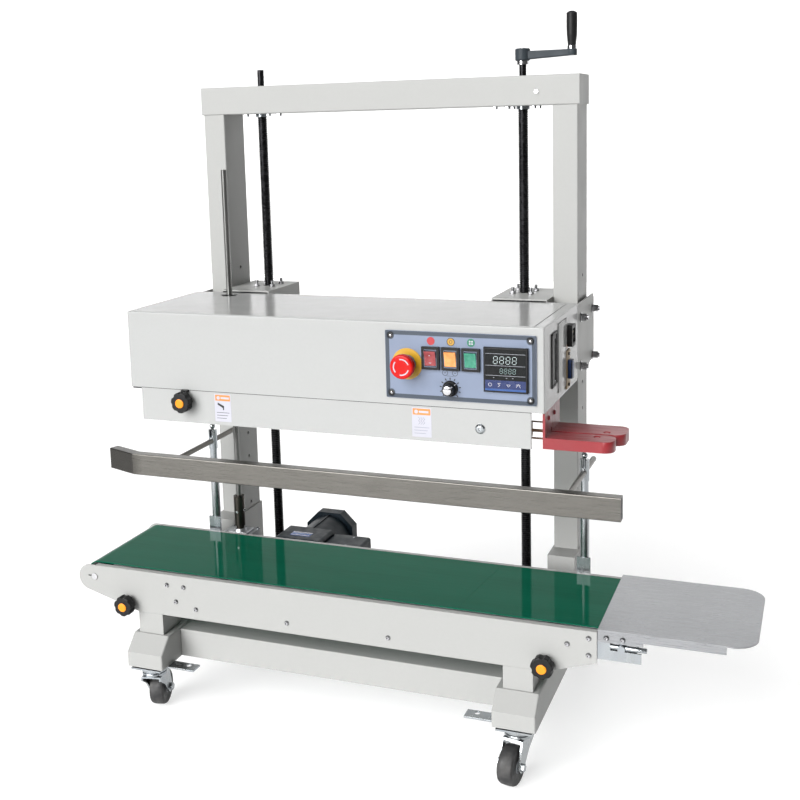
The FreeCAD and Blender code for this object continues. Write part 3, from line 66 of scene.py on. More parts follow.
def node_box(name):
    """Lowest and highest corner of a CAD node in the machine frame, in millimetres."""
    low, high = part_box(name)
    return (Vector(low) - ORIGIN) / MM, (Vector(high) - ORIGIN) / MM


def node_middle(name):
    """Middle of a CAD node's box in the machine frame, in millimetres."""
    low, high = node_box(name)
    return (low + high) / 2


# ---- mesh tools (millimetres, machine frame)

AXES = {"x": Matrix(((0, 0, 1), (1, 0, 0), (0, 1, 0))), "y": Matrix(((0, 1, 0), (0, 0, 1), (1, 0, 0))),
        "z": Matrix.Identity(3)}


def around(x, y, radius, angle):
    """Point of a plane at a distance and an angle from (x, y)."""
    return x + radius * math.cos(angle), y + radius * math.sin(angle)


def swing(axis, across, up, length):
    """Local point: (across, up) in the plane facing the axis, length along it."""
    return AXES[axis] @ Vector((across, up, length))


def ring(mesh, axis, centre, radius, length, steps):
    """Circle of vertices round the axis, or a single one where the radius is zero."""
    angles = (2 * math.pi * step / steps for step in range(steps if radius > 1e-6 else 1))
    return [mesh.verts.new(Vector(centre) + swing(axis, *around(0, 0, radius, angle), length))
            for angle in angles]


def lathe(mesh, axis, centre, profile, steps=40):
    """Solid of revolution: the profile lists (distance along the axis, radius), from end to end."""
    rings = [ring(mesh, axis, centre, radius, length, steps) for length, radius in profile]
    for first, second in zip(rings, rings[1:]):
        join_rings(mesh, first, second)
    for end in (rings[0], rings[-1]):
        if len(end) > 1:
            mesh.faces.new(end)


def join_rings(mesh, first, second):
    """Faces between two rings, either of which may be a single point."""
    count = max(len(first), len(second))
    for step in range(count):
        following = (step + 1) % count
        corners = [first[step % len(first)], first[following % len(first)],
                   second[following % len(second)], second[step % len(second)]]
        unique = list(dict.fromkeys(corners))
        if len(unique) > 2:
            mesh.faces.new(unique)


def join_loop(mesh, rings):
    """Faces from each ring to the next, and from the last back to the first."""
    for first, second in zip(rings, rings[1:] + rings[:1]):
        join_rings(mesh, first, second)


def prism(mesh, axis, outline, start, end):
    """Outline in the plane facing the axis, carried from start to end along it."""
    ends = [[mesh.verts.new(swing(axis, across, up, length)) for across, up in outline]
            for length in (start, end)]
    join_rings(mesh, *ends)
    for cap in ends:
        mesh.faces.new(cap)


def brick(mesh, low, high, bevel=0.4, segments=2):
    """Box between two corners, with every edge rounded."""
    low, high = Vector(low), Vector(high)
    made = bmesh.ops.create_cube(mesh, size=1)
    for vert in made["verts"]:
        vert.co = Vector(low[i] + (vert.co[i] + 0.5) * (high[i] - low[i]) for i in range(3))
    if bevel:
        edges = list({edge for vert in made["verts"] for edge in vert.link_edges})
        bmesh.ops.bevel(mesh, geom=edges, offset=bevel, segments=segments, affect="EDGES", profile=0.5)


def ring_band(mesh, axis, centre, inner, outer, start, end, steps=48):
    """Flat ring or tube between two radii."""
    corners = ((inner, start), (outer, start), (outer, end), (inner, end))
    join_loop(mesh, [ring(mesh, axis, centre, radius, length, steps) for radius, length in corners])


def mesh_data(name, mesh):
    """Blender's mesh made from a bmesh, which is freed."""
    data = bpy.data.meshes.new(name)
    mesh.to_mesh(data)
    mesh.free()
    return data


def place(name, data):
    """New object in the scene with the given data."""
    thing = bpy.data.objects.new(name, data)
    bpy.context.scene.collection.objects.link(thing)
    return thing


def piece(name, body, material, build, sharp=32):
    """One visible piece: build(mesh) makes it in millimetres, and it rides on a CAD body."""
    mesh = bmesh.new()
    build(mesh)
    bmesh.ops.recalc_face_normals(mesh, faces=mesh.faces)
    for vert in mesh.verts:
        vert.co = at(vert.co)
    data = mesh_data(name, mesh)
    data.shade_smooth()
    data.set_sharp_from_angle(angle=math.radians(sharp))
    data.materials.append(material)
    thing = place(name, data)
    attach(thing, body)
    return thing


def blocks(name, body, material, *boxes):
    """Piece made of boxes, each with its two corners, edge radius and, if not 2, the edge's segments."""
    def build(mesh):
        for box in boxes:
            brick(mesh, *box)
    piece(name, body, material, build)


def turned(name, body, material, axis, spots, profile, steps=40):
    """Piece made of one lathed shape, repeated at each spot."""
    def build(mesh):
        for spot in spots:
            lathe(mesh, axis, spot, profile, steps)
    piece(name, body, material, build)


# ---- materials

# the key light is brighter than daylight white, so every colour but a bare metal's is darkened by this
PAINT_SCALE = 0.7


class Surface:
    """A Principled material whose colour, roughness and relief vary over the object's own space."""

    def __init__(self, name, colour, roughness, metallic=0.0):
        self.material = bpy.data.materials.new(name)
        self.material.use_nodes = True
        self.nodes = self.material.node_tree.nodes
        self.links = self.material.node_tree.links
        self.shader = self.nodes["Principled BSDF"]
        self.scale = PAINT_SCALE if metallic < 0.5 else 1.0
        self.colour = self.scaled(colour)
        self.roughness = roughness
        self.shader.inputs["Base Color"].default_value = self.colour
        self.shader.inputs["Roughness"].default_value = roughness
        self.shader.inputs["Metallic"].default_value = metallic
        self.place = self.nodes.new("ShaderNodeTexCoord").outputs["Object"]
        self.paint = None
        self.normal = None

    def scaled(self, colour):
        """Colour with alpha, darkened unless the surface is bare metal."""
        return (*[channel * self.scale for channel in colour], 1.0)

    def set(self, **values):
        """Set shader inputs by name, with underscores for spaces."""
        for name, value in values.items():
            self.shader.inputs[name.replace("_", " ")].default_value = value
        return self

    def noise(self, scale, stretch=(1, 1, 1), detail=4.0):
        """Noise over the object's space, stretched along its axes."""
        mapping = self.nodes.new("ShaderNodeMapping")
        mapping.inputs["Scale"].default_value = stretch
        self.links.new(self.place, mapping.inputs["Vector"])
        texture = self.nodes.new("ShaderNodeTexNoise")
        texture.inputs["Scale"].default_value = scale
        texture.inputs["Detail"].default_value = detail
        self.links.new(mapping.outputs["Vector"], texture.inputs["Vector"])
        return texture.outputs["Fac"]

    def spread(self, value, low, high, start=0.35, end=0.65):
        """Map a texture's middle range to low..high."""
        node = self.nodes.new("ShaderNodeMapRange")
        for socket, number in (("From Min", start), ("From Max", end), ("To Min", low), ("To Max", high)):
            node.inputs[socket].default_value = number
        self.links.new(value, node.inputs["Value"])
        return node.outputs["Result"]

    def tint(self, value, colour, amount, start=0.35, end=0.65):
        """Blend another colour in where the texture is high."""
        mix = self.nodes.new("ShaderNodeMix")
        mix.data_type = "RGBA"
        self.links.new(self.spread(value, 0.0, amount, start, end), mix.inputs["Factor"])
        if self.paint is None:
            mix.inputs["A"].default_value = self.colour
        else:
            self.links.new(self.paint, mix.inputs["A"])
        mix.inputs["B"].default_value = self.scaled(colour)
        self.paint = mix.outputs["Result"]
        self.links.new(self.paint, self.shader.inputs["Base Color"])
        return self

    def polish(self, value, swing_by):
        """Let the roughness wander about its value."""
        result = self.spread(value, max(self.roughness - swing_by, 0.02), self.roughness + swing_by)
        self.links.new(result, self.shader.inputs["Roughness"])
        return self

    def relief(self, value, depth, strength=1.0):
        """Bump of a given depth in metres."""
        bump = self.nodes.new("ShaderNodeBump")
        bump.inputs["Distance"].default_value = depth
        bump.inputs["Strength"].default_value = strength
        self.links.new(value, bump.inputs["Height"])
        if self.normal is not None:
            self.links.new(self.normal, bump.inputs["Normal"])
        self.normal = bump.outputs["Normal"]
        self.links.new(self.normal, self.shader.inputs["Normal"])
        return self


def shade(colour, factor):
    """Lighter or darker version of a colour."""
    return [min(channel * factor, 1) for channel in colour]


def powder_coat(name, colour, roughness, shine):
    """Off-white powder coat: fine orange peel and faint cloudy patches."""
    coat = Surface(name, colour, roughness)
    coat.tint(coat.noise(5, detail=1), shade(colour, 0.985), 0.3)
    coat.tint(coat.noise(160, detail=2), shade(colour, 1.03), 0.35)
    coat.polish(coat.noise(22, detail=2), 0.03)
    coat.relief(coat.noise(900, detail=2), 0.00003, 0.35)
    return coat.set(Specular_IOR_Level=shine).material


def brushed_steel(name, colour, direction, bend=None):
    """Stainless sheet with a fine grain along one axis, and painted shade left of a bend that stands in for a
    dark reflection there.
    """
    stretch = [1.0 if axis == direction else 60.0 for axis in "xyz"]
    steel = Surface(name, colour, 0.32, 1.0)
    grain = steel.noise(22, stretch, 6.0)
    steel.tint(grain, shade(colour, 1.2), 0.5)
    steel.tint(steel.noise(7, detail=1), shade(colour, 0.88), 0.4)
    # painted shade: the colour darkens left of the bend as a baked dark reflection, not a duller finish
    if bend is not None:
        split = steel.nodes.new("ShaderNodeSeparateXYZ")
        steel.links.new(steel.place, split.inputs["Vector"])
        steel.tint(split.outputs["X"], shade(colour, 0.5), 1.0, bend + 0.016, bend - 0.01)
    steel.polish(grain, 0.08)
    steel.relief(grain, 0.00002, 0.4)
    return steel.material


def zinc_plate(name):
    """Bright zinc plating: bluish, with cloudy patches."""
    zinc = Surface(name, (0.34, 0.365, 0.39), 0.24, 1.0)
    zinc.tint(zinc.noise(45, (1.0, 1.0, 0.25), 1), (0.42, 0.45, 0.47), 0.5)
    zinc.tint(zinc.noise(18, detail=1), (0.30, 0.29, 0.26), 0.3)
    zinc.polish(zinc.noise(60, (1.0, 1.0, 0.25), 1), 0.04)
    return zinc.material


def chrome(name, colour):
    """Polished plating with faint smears."""
    plating = Surface(name, colour, 0.14, 1.0)
    plating.tint(plating.noise(40, detail=2), shade(colour, 0.8), 0.4)
    plating.polish(plating.noise(55, detail=5), 0.05)
    return plating.material


def dark_steel(name, colour=(0.035, 0.035, 0.037), roughness=0.3):
    """Blackened, lightly oiled steel."""
    steel = Surface(name, colour, roughness, 0.85)
    steel.tint(steel.noise(70, detail=5), shade(colour, 2.6), 0.6)
    steel.polish(steel.noise(130, detail=4), 0.12)
    steel.relief(steel.noise(700, detail=3), 0.00003, 0.4)
    return steel.material


def shaft_steel(name, joint_top):
    """Bright drawn rod above, oiled dark steel up to the top of its universal joint."""
    steel = Surface(name, (0.16, 0.16, 0.155), 0.28, 1.0)
    steel.tint(steel.noise(30, (1.0, 1.0, 0.1), 1), (0.18, 0.18, 0.175), 0.4)
    split = steel.nodes.new("ShaderNodeSeparateXYZ")
    steel.links.new(steel.place, split.inputs["Vector"])
    steel.tint(split.outputs["Z"], (0.07, 0.062, 0.055), 1.0, joint_top + 0.001, joint_top)
    steel.polish(steel.noise(40, (1.0, 1.0, 0.1), 1), 0.03)
    return steel.material


def belt_cover(name):
    """Green PVC belt: glossy face over a faint weave, with scuffs along its travel."""
    belt = Surface(name, (0.004, 0.098, 0.055), 0.06)
    belt.tint(belt.noise(12, (0.25, 2.0, 1.0), 4), (0.006, 0.12, 0.07), 0.6)
    belt.tint(belt.noise(160, (0.1, 1.5, 1.0), 3), (0.01, 0.14, 0.085), 0.2)
    belt.polish(belt.noise(35, (0.3, 1.5, 1.0), 5), 0.03)
    belt.relief(belt.noise(700, (1.0, 1.0, 0.1), 2), 0.000006, 0.1)
    return belt.set(Specular_IOR_Level=0.02).material


def painted_cast(name, colour):
    """Paint over cast iron: a soft pebbled skin."""
    paint = Surface(name, colour, 0.42)
    paint.tint(paint.noise(35, detail=4), shade(colour, 1.5), 0.5)
    paint.polish(paint.noise(60, detail=4), 0.08)
    paint.relief(paint.noise(380, detail=4), 0.00012, 0.5)
    return paint.set(Specular_IOR_Level=0.15).material


def cast_alloy(name):
    """Bare cast aluminium."""
    alloy = Surface(name, (0.36, 0.37, 0.38), 0.4, 0.9)
    alloy.tint(alloy.noise(45, detail=3), (0.27, 0.28, 0.30), 0.6)
    alloy.polish(alloy.noise(90, detail=4), 0.1)
    alloy.relief(alloy.noise(420, detail=4), 0.0001, 0.5)
    return alloy.material


def rubber(name):
    """Black tyre rubber with pale dust in its pores."""
    tyre = Surface(name, (0.018, 0.018, 0.019), 0.62)
    tyre.tint(tyre.noise(60, detail=6), (0.07, 0.068, 0.065), 0.6)
    tyre.polish(tyre.noise(90, detail=4), 0.1)
    tyre.relief(tyre.noise(650, detail=3), 0.00008, 0.5)
    return tyre.material


def moulded(name, colour, roughness=0.4, lighter=1.5, relief=0.00004):
    """Moulded plastic: fine texture, slight shine differences."""
    plastic = Surface(name, colour, roughness)
    plastic.tint(plastic.noise(80, detail=4), shade(colour, lighter), 0.35)
    plastic.polish(plastic.noise(120, detail=4), 0.07)
    plastic.relief(plastic.noise(900, detail=2), relief, 0.4)
    return plastic.set(Specular_IOR_Level=0.2).material


def machined_plastic(name, colour):
    """Red plate plastic with faint cutter lines along its length."""
    plastic = Surface(name, colour, 0.36)
    plastic.tint(plastic.noise(30, (0.4, 6.0, 1.0), 4), shade(colour, 1.35), 0.4)
    plastic.tint(plastic.noise(14, detail=3), shade(colour, 0.8), 0.4)
    plastic.polish(plastic.noise(45, (0.5, 4.0, 1.0), 4), 0.08)
    plastic.relief(plastic.noise(55, (0.3, 12.0, 1.0), 3), 0.00004, 0.4)
    return plastic.material


def printed(name, colour, roughness=0.38):
    """Print or film with a fine even texture."""
    film = Surface(name, colour, roughness)
    film.tint(film.noise(25, detail=3), shade(colour, 1.12), 0.5)
    film.polish(film.noise(50, detail=3), 0.05)
    film.relief(film.noise(1500, detail=2), 0.00001, 0.3)
    return film.material


def glass_cloth(name):
    """PTFE-coated glass cloth: brown, with a square weave."""
    cloth = Surface(name, (0.20, 0.10, 0.045), 0.4)
    cloth.tint(cloth.noise(60, detail=4), (0.32, 0.18, 0.09), 0.6)
    wave = cloth.nodes.new("ShaderNodeTexWave")
    wave.inputs["Scale"].default_value = 500
    cloth.links.new(cloth.place, wave.inputs["Vector"])
    cloth.polish(cloth.noise(100, detail=3), 0.06)
    cloth.relief(wave.outputs["Fac"], 0.00004, 0.4)
    return cloth.material


def brass(name):
    """Bare brass, paler in patches."""
    metal = Surface(name, (0.62, 0.43, 0.18), 0.28, 1.0)
    metal.tint(metal.noise(80), (0.72, 0.55, 0.3), 0.6)
    return metal.polish(metal.noise(90), 0.08).material


def lit_plastic(name, colour, glow):
    """Translucent switch plastic, lit a little from behind."""
    plastic = Surface(name, colour, 0.18)
    plastic.tint(plastic.noise(160, detail=2), [min(c * 1.5 + 0.05, 1) for c in colour], 0.6)
    plastic.polish(plastic.noise(80, detail=3), 0.05)
    plastic.shader.inputs["Emission Color"].default_value = (*colour, 1.0)
    plastic.shader.inputs["Emission Strength"].default_value = glow
    return plastic.set(Coat_Weight=0.5).material


# where the guide bar bends; its material paints shade, standing in for a dark reflection, left of this
BAR_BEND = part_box("guide_bar")[0][0] + 0.07
SHAFT_JOINT_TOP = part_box("drive_gearbox")[1][2] + 0.067

WHITE = powder_coat("white_powder_coat", (0.405, 0.407, 0.396), 0.4, 0.15)
HOOD_WHITE = powder_coat("hood_white", (0.425, 0.43, 0.424), 0.2, 0.28)
STEEL_BAR = brushed_steel("brushed_steel_bar", (0.125, 0.12, 0.11), "x", BAR_BEND)
STEEL_TABLE = brushed_steel("brushed_steel_table", (0.285, 0.29, 0.30), "x")
ZINC = zinc_plate("zinc_plating")
CHROME = chrome("chrome_plating", (0.55, 0.55, 0.56))
SCREW_CHROME = chrome("screw_chrome", (0.33, 0.33, 0.34))
SCREW_BLACK = dark_steel("screw_black", (0.012, 0.012, 0.013), 0.28)
BLACK_OXIDE = dark_steel("black_oxide")
SHAFT = shaft_steel("shaft_steel", SHAFT_JOINT_TOP)
BELT = belt_cover("belt_green")
MOTOR = painted_cast("motor_slate", (0.007, 0.013, 0.018))
ALLOY = cast_alloy("cast_alloy")
TYRE = rubber("tyre_rubber")
BLACK = moulded("black_plastic", (0.009, 0.009, 0.0095), 0.42, 1.8)
GLOSS_BLACK = moulded("gloss_black", (0.005, 0.006, 0.0065), 0.2, 1.6, 0.00001)
GREY = moulded("grey_plastic", (0.17, 0.18, 0.19), 0.45)
NYLON = moulded("nylon_cream", (0.72, 0.69, 0.60), 0.42, 1.1)
ORANGE = moulded("orange_cap", (0.90, 0.30, 0.018), 0.32, 1.2)
RED_GUIDE = machined_plastic("red_guide", (0.25, 0.011, 0.017))
RED_BUTTON = moulded("red_button", (0.55, 0.006, 0.005), 0.2, 1.1, 0.00001)
YELLOW = printed("stop_yellow", (0.56, 0.31, 0.012))
PANEL = printed("panel_periwinkle", (0.18, 0.222, 0.315))
SLATE = printed("panel_slate", (0.028, 0.042, 0.065))
# black for print and washers, also used for the sheets of painted shade in the guard's seam and the axle slot
SHADE_AND_PRINT_BLACK = printed("print_and_painted_shade_black", (0.012, 0.012, 0.014))
PAPER = printed("print_white", (0.47, 0.47, 0.53))
PRINT_ORANGE = printed("print_orange", (0.68, 0.24, 0.055))
PRINT_RED = printed("print_red", (0.42, 0.012, 0.02))
PRINT_YELLOW = printed("print_yellow", (0.50, 0.27, 0.018))
PRINT_GREEN = printed("print_green", (0.004, 0.16, 0.085))
PRINT_GREY = printed("print_grey", (0.26, 0.27, 0.30))
PRINT_BLUE = printed("print_blue", (0.004, 0.017, 0.10), 0.25)
PRINT_SKY = printed("print_sky", (0.02, 0.075, 0.26), 0.25)
DIGITS = lit_plastic("digit_white", (0.42, 0.50, 0.50), 0.1)
DIGITS_DIM = lit_plastic("digit_dim", (0.22, 0.33, 0.32), 0.05)
ROCKER_RED = lit_plastic("rocker_red", (0.23, 0.007, 0.011), 0.03)
ROCKER_AMBER = lit_plastic("rocker_amber", (0.62, 0.23, 0.05), 0.22)
ROCKER_GREEN = lit_plastic("rocker_green", (0.01, 0.20, 0.12), 0.08)
CLOTH = glass_cloth("ptfe_cloth")
BLUE_SOCKET = moulded("blue_socket", (0.012, 0.035, 0.12), 0.35, 1.8)
CRANK = painted_cast("crank_slate", (0.035, 0.043, 0.05))
TAN = moulded("tan_label", (0.36, 0.27, 0.16), 0.45, 1.2)
BRASS = brass("brass")

NODE_LOOKS = {
    WHITE: ["legs", "cross_beams", "columns", "top_beam", "conveyor_posts", "head_base", "side_brackets",
            "lift_carriages", "conveyor_front_plate", "conveyor_rear_plate"],
    HOOD_WHITE: ["head_hood", "head_guard"],
    STEEL_BAR: ["guide_bar"],
    STEEL_TABLE: ["extension_table", "slider_bed"],
    ZINC: ["anchor_tabs", "caster_tops", "belt_tensioners", "guide_posts", "guide_clamps", "screw_bearings",
           *(f"caster_fork_{corner}" for corner in CORNERS)],
    CHROME: ["drive_roller", "tail_roller"],
    SCREW_CHROME: ["head_bolts", "frame_screws"],
    CRANK: ["crank_arm"],
    BLACK_OXIDE: ["lift_chain"],
    SHAFT: ["drive_shaft"],
    SCREW_BLACK: ["lead_screw_right", "lead_screw_left"],
    BELT: ["conveyor_belt"],
    MOTOR: ["gearmotor"],
    ALLOY: ["drive_gearbox", "seal_blocks", *(f"band_wheel_{corner}" for corner in CORNERS)],
    TYRE: [f"caster_wheel_{corner}" for corner in CORNERS],
    BLACK: ["crank_handle", *STAR_KNOBS, "speed_knob", "temperature_controller", "side_sockets"],
    PANEL: ["control_panel"],
    RED_GUIDE: ["inlet_guide"],
    RED_BUTTON: ["e_stop_cap"],
    ROCKER_RED: ["rocker_power"],
    ROCKER_AMBER: ["rocker_drive"],
    ROCKER_GREEN: ["rocker_fan"],
    CLOTH: ["seal_bands"],
}

# softened edges, in millimetres, for sheet and bar work that leaves the CAD model with sharp ones
SOFT_EDGES = {
    "cross_beams": 1.5, "conveyor_posts": 0.8, "extension_table": 0.4, "conveyor_front_plate": 0.5,
    "conveyor_rear_plate": 0.5, "side_brackets": 0.4, "inlet_guide": 0.5, "belt_tensioners": 0.3,
    "temperature_controller": 0.4, "anchor_tabs": 0.3, "drive_gearbox": 0.6, "crank_arm": 0.5,
    "slider_bed": 0.4, **{knob: 0.6 for knob in STAR_KNOBS},
}


def dress_nodes():
    """Give every CAD node its material, and soften the edges that need it."""
    for material, names in NODE_LOOKS.items():
        for name in names:
            slots = NODES[name].data.materials
            if not len(slots):
                slots.append(material)
            for index in range(len(slots)):
                slots[index] = material
    for name, width in SOFT_EDGES.items():
        weld = NODES[name].modifiers.new("weld", "WELD")
        weld.merge_threshold = 0.01 * MM
        soft = NODES[name].modifiers.new("soft_edges", "BEVEL")
        soft.width = width * MM
        soft.segments = 2
        soft.limit_method = "ANGLE"
        soft.angle_limit = math.radians(50)
        soft.harden_normals = True


dress_nodes()

# ---- lead screws


THREAD_RADIUS, THREAD_DEPTH, THREAD_PITCH = 9.4, 1.4, 4.0
THREAD_STEPS = 20
JOURNAL_RADIUS, FOOT_JOURNAL, HEAD_JOURNAL = 9.45, 22, 16
RELIEF_RADIUS, STUB_RADIUS = 8.0, 6.4
SPROCKET_TEETH, SPROCKET_ROOT, SPROCKET_TIP = 24, 27.5, 30
HUB_RADIUS = 13.5


def threaded_rod(mesh, centre, low, high):
    """Trapezoidal thread: one helix of four edges."""
    root = THREAD_RADIUS - THREAD_DEPTH
    profile = ((0.0, root), (0.18, THREAD_RADIUS), (0.5, THREAD_RADIUS), (0.68, root))
    steps = THREAD_STEPS
    count = int((high - low) / THREAD_PITCH) * steps
    rows = []
    for step in range(count + 1):
        angle = 2 * math.pi * (step % steps) / steps
        base = low + THREAD_PITCH * step / steps
        rows.append([mesh.verts.new((*around(centre.x, centre.y, size, angle), base + share * THREAD_PITCH))
                     for share, size in profile])
    for step in range(count):
        for edge in range(3):
            mesh.faces.new((rows[step][edge], rows[step + 1][edge], rows[step + 1][edge + 1],
                            rows[step][edge + 1]))
        if step + steps < count:
            mesh.faces.new((rows[step][3], rows[step + 1][3], rows[step + steps + 1][0],
                            rows[step + steps][0]))


def sprocket_outline(centre):
    """Toothed outline round a screw's axis."""
    outline = []
    for tooth in range(SPROCKET_TEETH):
        for share, radius in ((0.0, SPROCKET_ROOT), (0.3, SPROCKET_ROOT), (0.45, SPROCKET_TIP),
                              (0.8, SPROCKET_TIP)):
            angle = 2 * math.pi * (tooth + share) / SPROCKET_TEETH
            outline.append(around(centre.x, centre.y, radius, angle))
    return outline


def lead_screw(name, body):
    """Threaded screw with its sprocket and plain stub, in place of the plain CAD rod."""
    low, high = node_box(name)
    centre = node_middle(name)
    foot = low.z
    shoulder = node_box("top_beam")[0].z + 8
    sprocket = shoulder + 16

    def build(mesh):
        axis = (centre.x, centre.y, 0)
        threaded_rod(mesh, centre, foot + FOOT_JOURNAL, shoulder - HEAD_JOURNAL)
        lathe(mesh, "z", axis, [
            (foot, 8.8), (foot + 0.8, JOURNAL_RADIUS), (foot + FOOT_JOURNAL - 1, JOURNAL_RADIUS),
            (foot + FOOT_JOURNAL, RELIEF_RADIUS), (shoulder - HEAD_JOURNAL + 1, RELIEF_RADIUS),
            (shoulder - HEAD_JOURNAL + 2, JOURNAL_RADIUS), (shoulder - 0.6, JOURNAL_RADIUS),
            (shoulder, STUB_RADIUS), (high.z - 1, 6.35), (high.z, 5.6)], 32)
        lathe(mesh, "z", axis, [(sprocket - 4, HUB_RADIUS), (sprocket + 14, HUB_RADIUS)], 32)
        prism(mesh, "z", sprocket_outline(centre), sprocket + 0.6, sprocket + 5.4)

    screw = piece(f"{name}_threaded", body, SCREW_BLACK, build, 25)
    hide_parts(name)


lead_screw("lead_screw_right", "right_screw")
lead_screw("lead_screw_left", "left_screw")

# ---- control panel

PANEL_LOW, PANEL_HIGH = node_box("control_panel")
PANEL_FACE = -2.5
PANEL_RIM = 6.6
PRINT, SUNK = 0.25, 0.05
PANEL_CORNERS = [(x, z) for x in (PANEL_LOW.x + 9.5, PANEL_HIGH.x - 9.5)
                 for z in (PANEL_LOW.z + 8.5, PANEL_HIGH.z - 8.5)]
CONTROLLER_LOW, CONTROLLER_HIGH = node_box("temperature_controller")
ROCKER_MIDDLES = [node_middle(f"rocker_{name}") for name in ("power", "drive", "fan")]
STOP = node_middle("e_stop_cap")
SPEED = node_middle("speed_knob")
HEAD = "head"


def frame_outline(mesh, low, high, width, depth_from, depth_to):
    """Flat rectangular frame facing the operator."""
    loops = []
    for inset, depth in ((0, depth_from), (0, depth_to), (width, depth_to), (width, depth_from)):
        left, bottom, right, top = low[0] + inset, low[1] + inset, high[0] - inset, high[1] - inset
        loops.append([mesh.verts.new((x, depth, z))
                      for x, z in ((left, bottom), (right, bottom), (right, top), (left, top))])
    join_loop(mesh, loops)


def panel_border():
    """Slate border with the round corner lands under the fixing screws."""
    def build(mesh):
        low = (PANEL_LOW.x + 0.4, PANEL_LOW.z + 0.4)
        high = (PANEL_HIGH.x - 0.4, PANEL_HIGH.z - 0.4)
        frame_outline(mesh, low, high, PANEL_RIM, PANEL_FACE + SUNK, PANEL_FACE - 0.15)
        for x, z in PANEL_CORNERS:
            lathe(mesh, "y", (x, PANEL_FACE, z), [(SUNK, 6.2), (-0.15, 6.2)], 32)
    piece("panel_border", HEAD, SLATE, build)


def panel_screws():
    """Domed screws in the panel's corners, each on a dark washer."""
    turned("panel_screws", HEAD, CHROME, "y", [(x, PANEL_FACE - 0.15, z) for x, z in PANEL_CORNERS],
           [(0.1, 2.5), (-0.8, 2.4), (-1.5, 1.7), (-1.8, 0.8), (-1.2, 0.6), (-1.2, 0)], 28)
    turned("panel_washers", HEAD, SHADE_AND_PRINT_BLACK, "y", [(x, PANEL_FACE, z) for x, z in PANEL_CORNERS],
           [(SUNK, 4.6), (-0.35, 4.5), (-0.4, 4.1), (-0.4, 0)], 32)


def dot(mesh, x, z, radius, face=PANEL_FACE):
    """Printed disc."""
    lathe(mesh, "y", (x, face, z), [(SUNK, radius), (-PRINT, radius)], 32)


def bar(mesh, start, end, width, face=PANEL_FACE, thickness=PRINT):
    """Printed stroke between two points of the panel."""
    start, end = Vector(start), Vector(end)
    along = (end - start).normalized() * (width / 2)
    side = Vector((-along.y, along.x))
    corners = [start - along - side, end + along - side, end + along + side, start - along + side]
    loops = [[mesh.verts.new((corner.x, depth, corner.y)) for corner in corners]
             for depth in (face + SUNK, face - thickness)]
    join_rings(mesh, *loops)
    for loop in loops:
        mesh.faces.new(loop)


def circle_line(mesh, x, z, radius, width, face=PANEL_FACE, thickness=PRINT):
    """Printed circle."""
    ring_band(mesh, "y", (x, face, z), radius - width / 2, radius + width / 2, SUNK, -thickness)


ICON_RISE = 27.5
PULLEY_RISE, PULLEY_REACH = 25.5, 8.4
DIAL_TICKS, DIAL_START, DIAL_SWEEP = 11, 225, 270
TICK_INNER, TICK_OUTER = 15.2, 17.2


def panel_print():
    """Coloured dots over the rockers, the two-pulley sign and the dial's scale."""
    for index, (middle, look) in enumerate(zip(ROCKER_MIDDLES, (PRINT_RED, PRINT_YELLOW, PRINT_GREEN))):
        piece(f"icon_dot_{index + 1}", HEAD, look,
              lambda mesh, m=middle: dot(mesh, m.x, m.z + ICON_RISE, 6.6))

    def marks(mesh):
        drive = ROCKER_MIDDLES[1]
        for radius, width in ((6.2, 0.9), (2.4, 0.8)):
            circle_line(mesh, drive.x, drive.z + ICON_RISE, radius, width, PANEL_FACE - PRINT)
        for x in (SPEED.x - PULLEY_REACH, SPEED.x + PULLEY_REACH):
            circle_line(mesh, x, SPEED.z + PULLEY_RISE, 4.4, 0.7)
            dot(mesh, x, SPEED.z + PULLEY_RISE, 0.9)
        for z in (SPEED.z + PULLEY_RISE - 5, SPEED.z + PULLEY_RISE + 5):
            bar(mesh, (SPEED.x - 5.5, z), (SPEED.x + 5.5, z), 0.5)
        for tick in range(DIAL_TICKS):
            angle = math.radians(DIAL_START - tick * DIAL_SWEEP / (DIAL_TICKS - 1))
            start, end = (around(SPEED.x, SPEED.z, radius, angle) for radius in (TICK_INNER, TICK_OUTER))
            bar(mesh, start, end, 1.7)
    piece("panel_marks", HEAD, SHADE_AND_PRINT_BLACK, marks)

    def fan_dots(mesh):
        fan = ROCKER_MIDDLES[2]
        for turn in range(4):
            angle = math.radians(45 + 90 * turn)
            dot(mesh, *around(fan.x, fan.z + ICON_RISE, 2.7, angle), 1.5, PANEL_FACE - PRINT)
    piece("fan_sign", HEAD, PAPER, fan_dots)


STOP_DISC_INNER, STOP_DISC_OUTER = 15.2, 25.9
ARROW_INNER, ARROW_OUTER, ARROW_STEPS = 11.9, 13.9, 10


def emergency_stop():
    """Yellow disc behind the mushroom head, and the turn arrows on its cap."""
    def disc(mesh):
        ring_band(mesh, "y", (STOP.x, PANEL_FACE, STOP.z), STOP_DISC_INNER, STOP_DISC_OUTER, 0.0, -1.3, 64)
    piece("stop_disc", HEAD, YELLOW, disc)

    def arrows(mesh):
        face = node_box("e_stop_cap")[0].y
        for turn in range(3):
            start = math.radians(20 + 120 * turn)
            points = [start + math.radians(step * 9) for step in range(ARROW_STEPS)]
            loops = []
            for radius, depth in ((ARROW_INNER, 0.3), (ARROW_OUTER, 0.3), (ARROW_OUTER, -0.12),
                                  (ARROW_INNER, -0.12)):
                loops.append([mesh.verts.new((STOP.x + radius * math.cos(a), face + depth,
                                              STOP.z + radius * math.sin(a))) for a in points])
            for first, second in zip(loops, loops[1:] + loops[:1]):
                for step in range(len(points) - 1):
                    mesh.faces.new((first[step], first[step + 1], second[step + 1], second[step]))
            for end in (0, -1):
                mesh.faces.new([loop[end] for loop in loops])
    piece("stop_arrows", "e_stop_cap", PAPER, arrows)


BEZELS = ((14.9, 18.6, 4.3, 5.3), (10.7, 14.4, 0.75, 3.2))


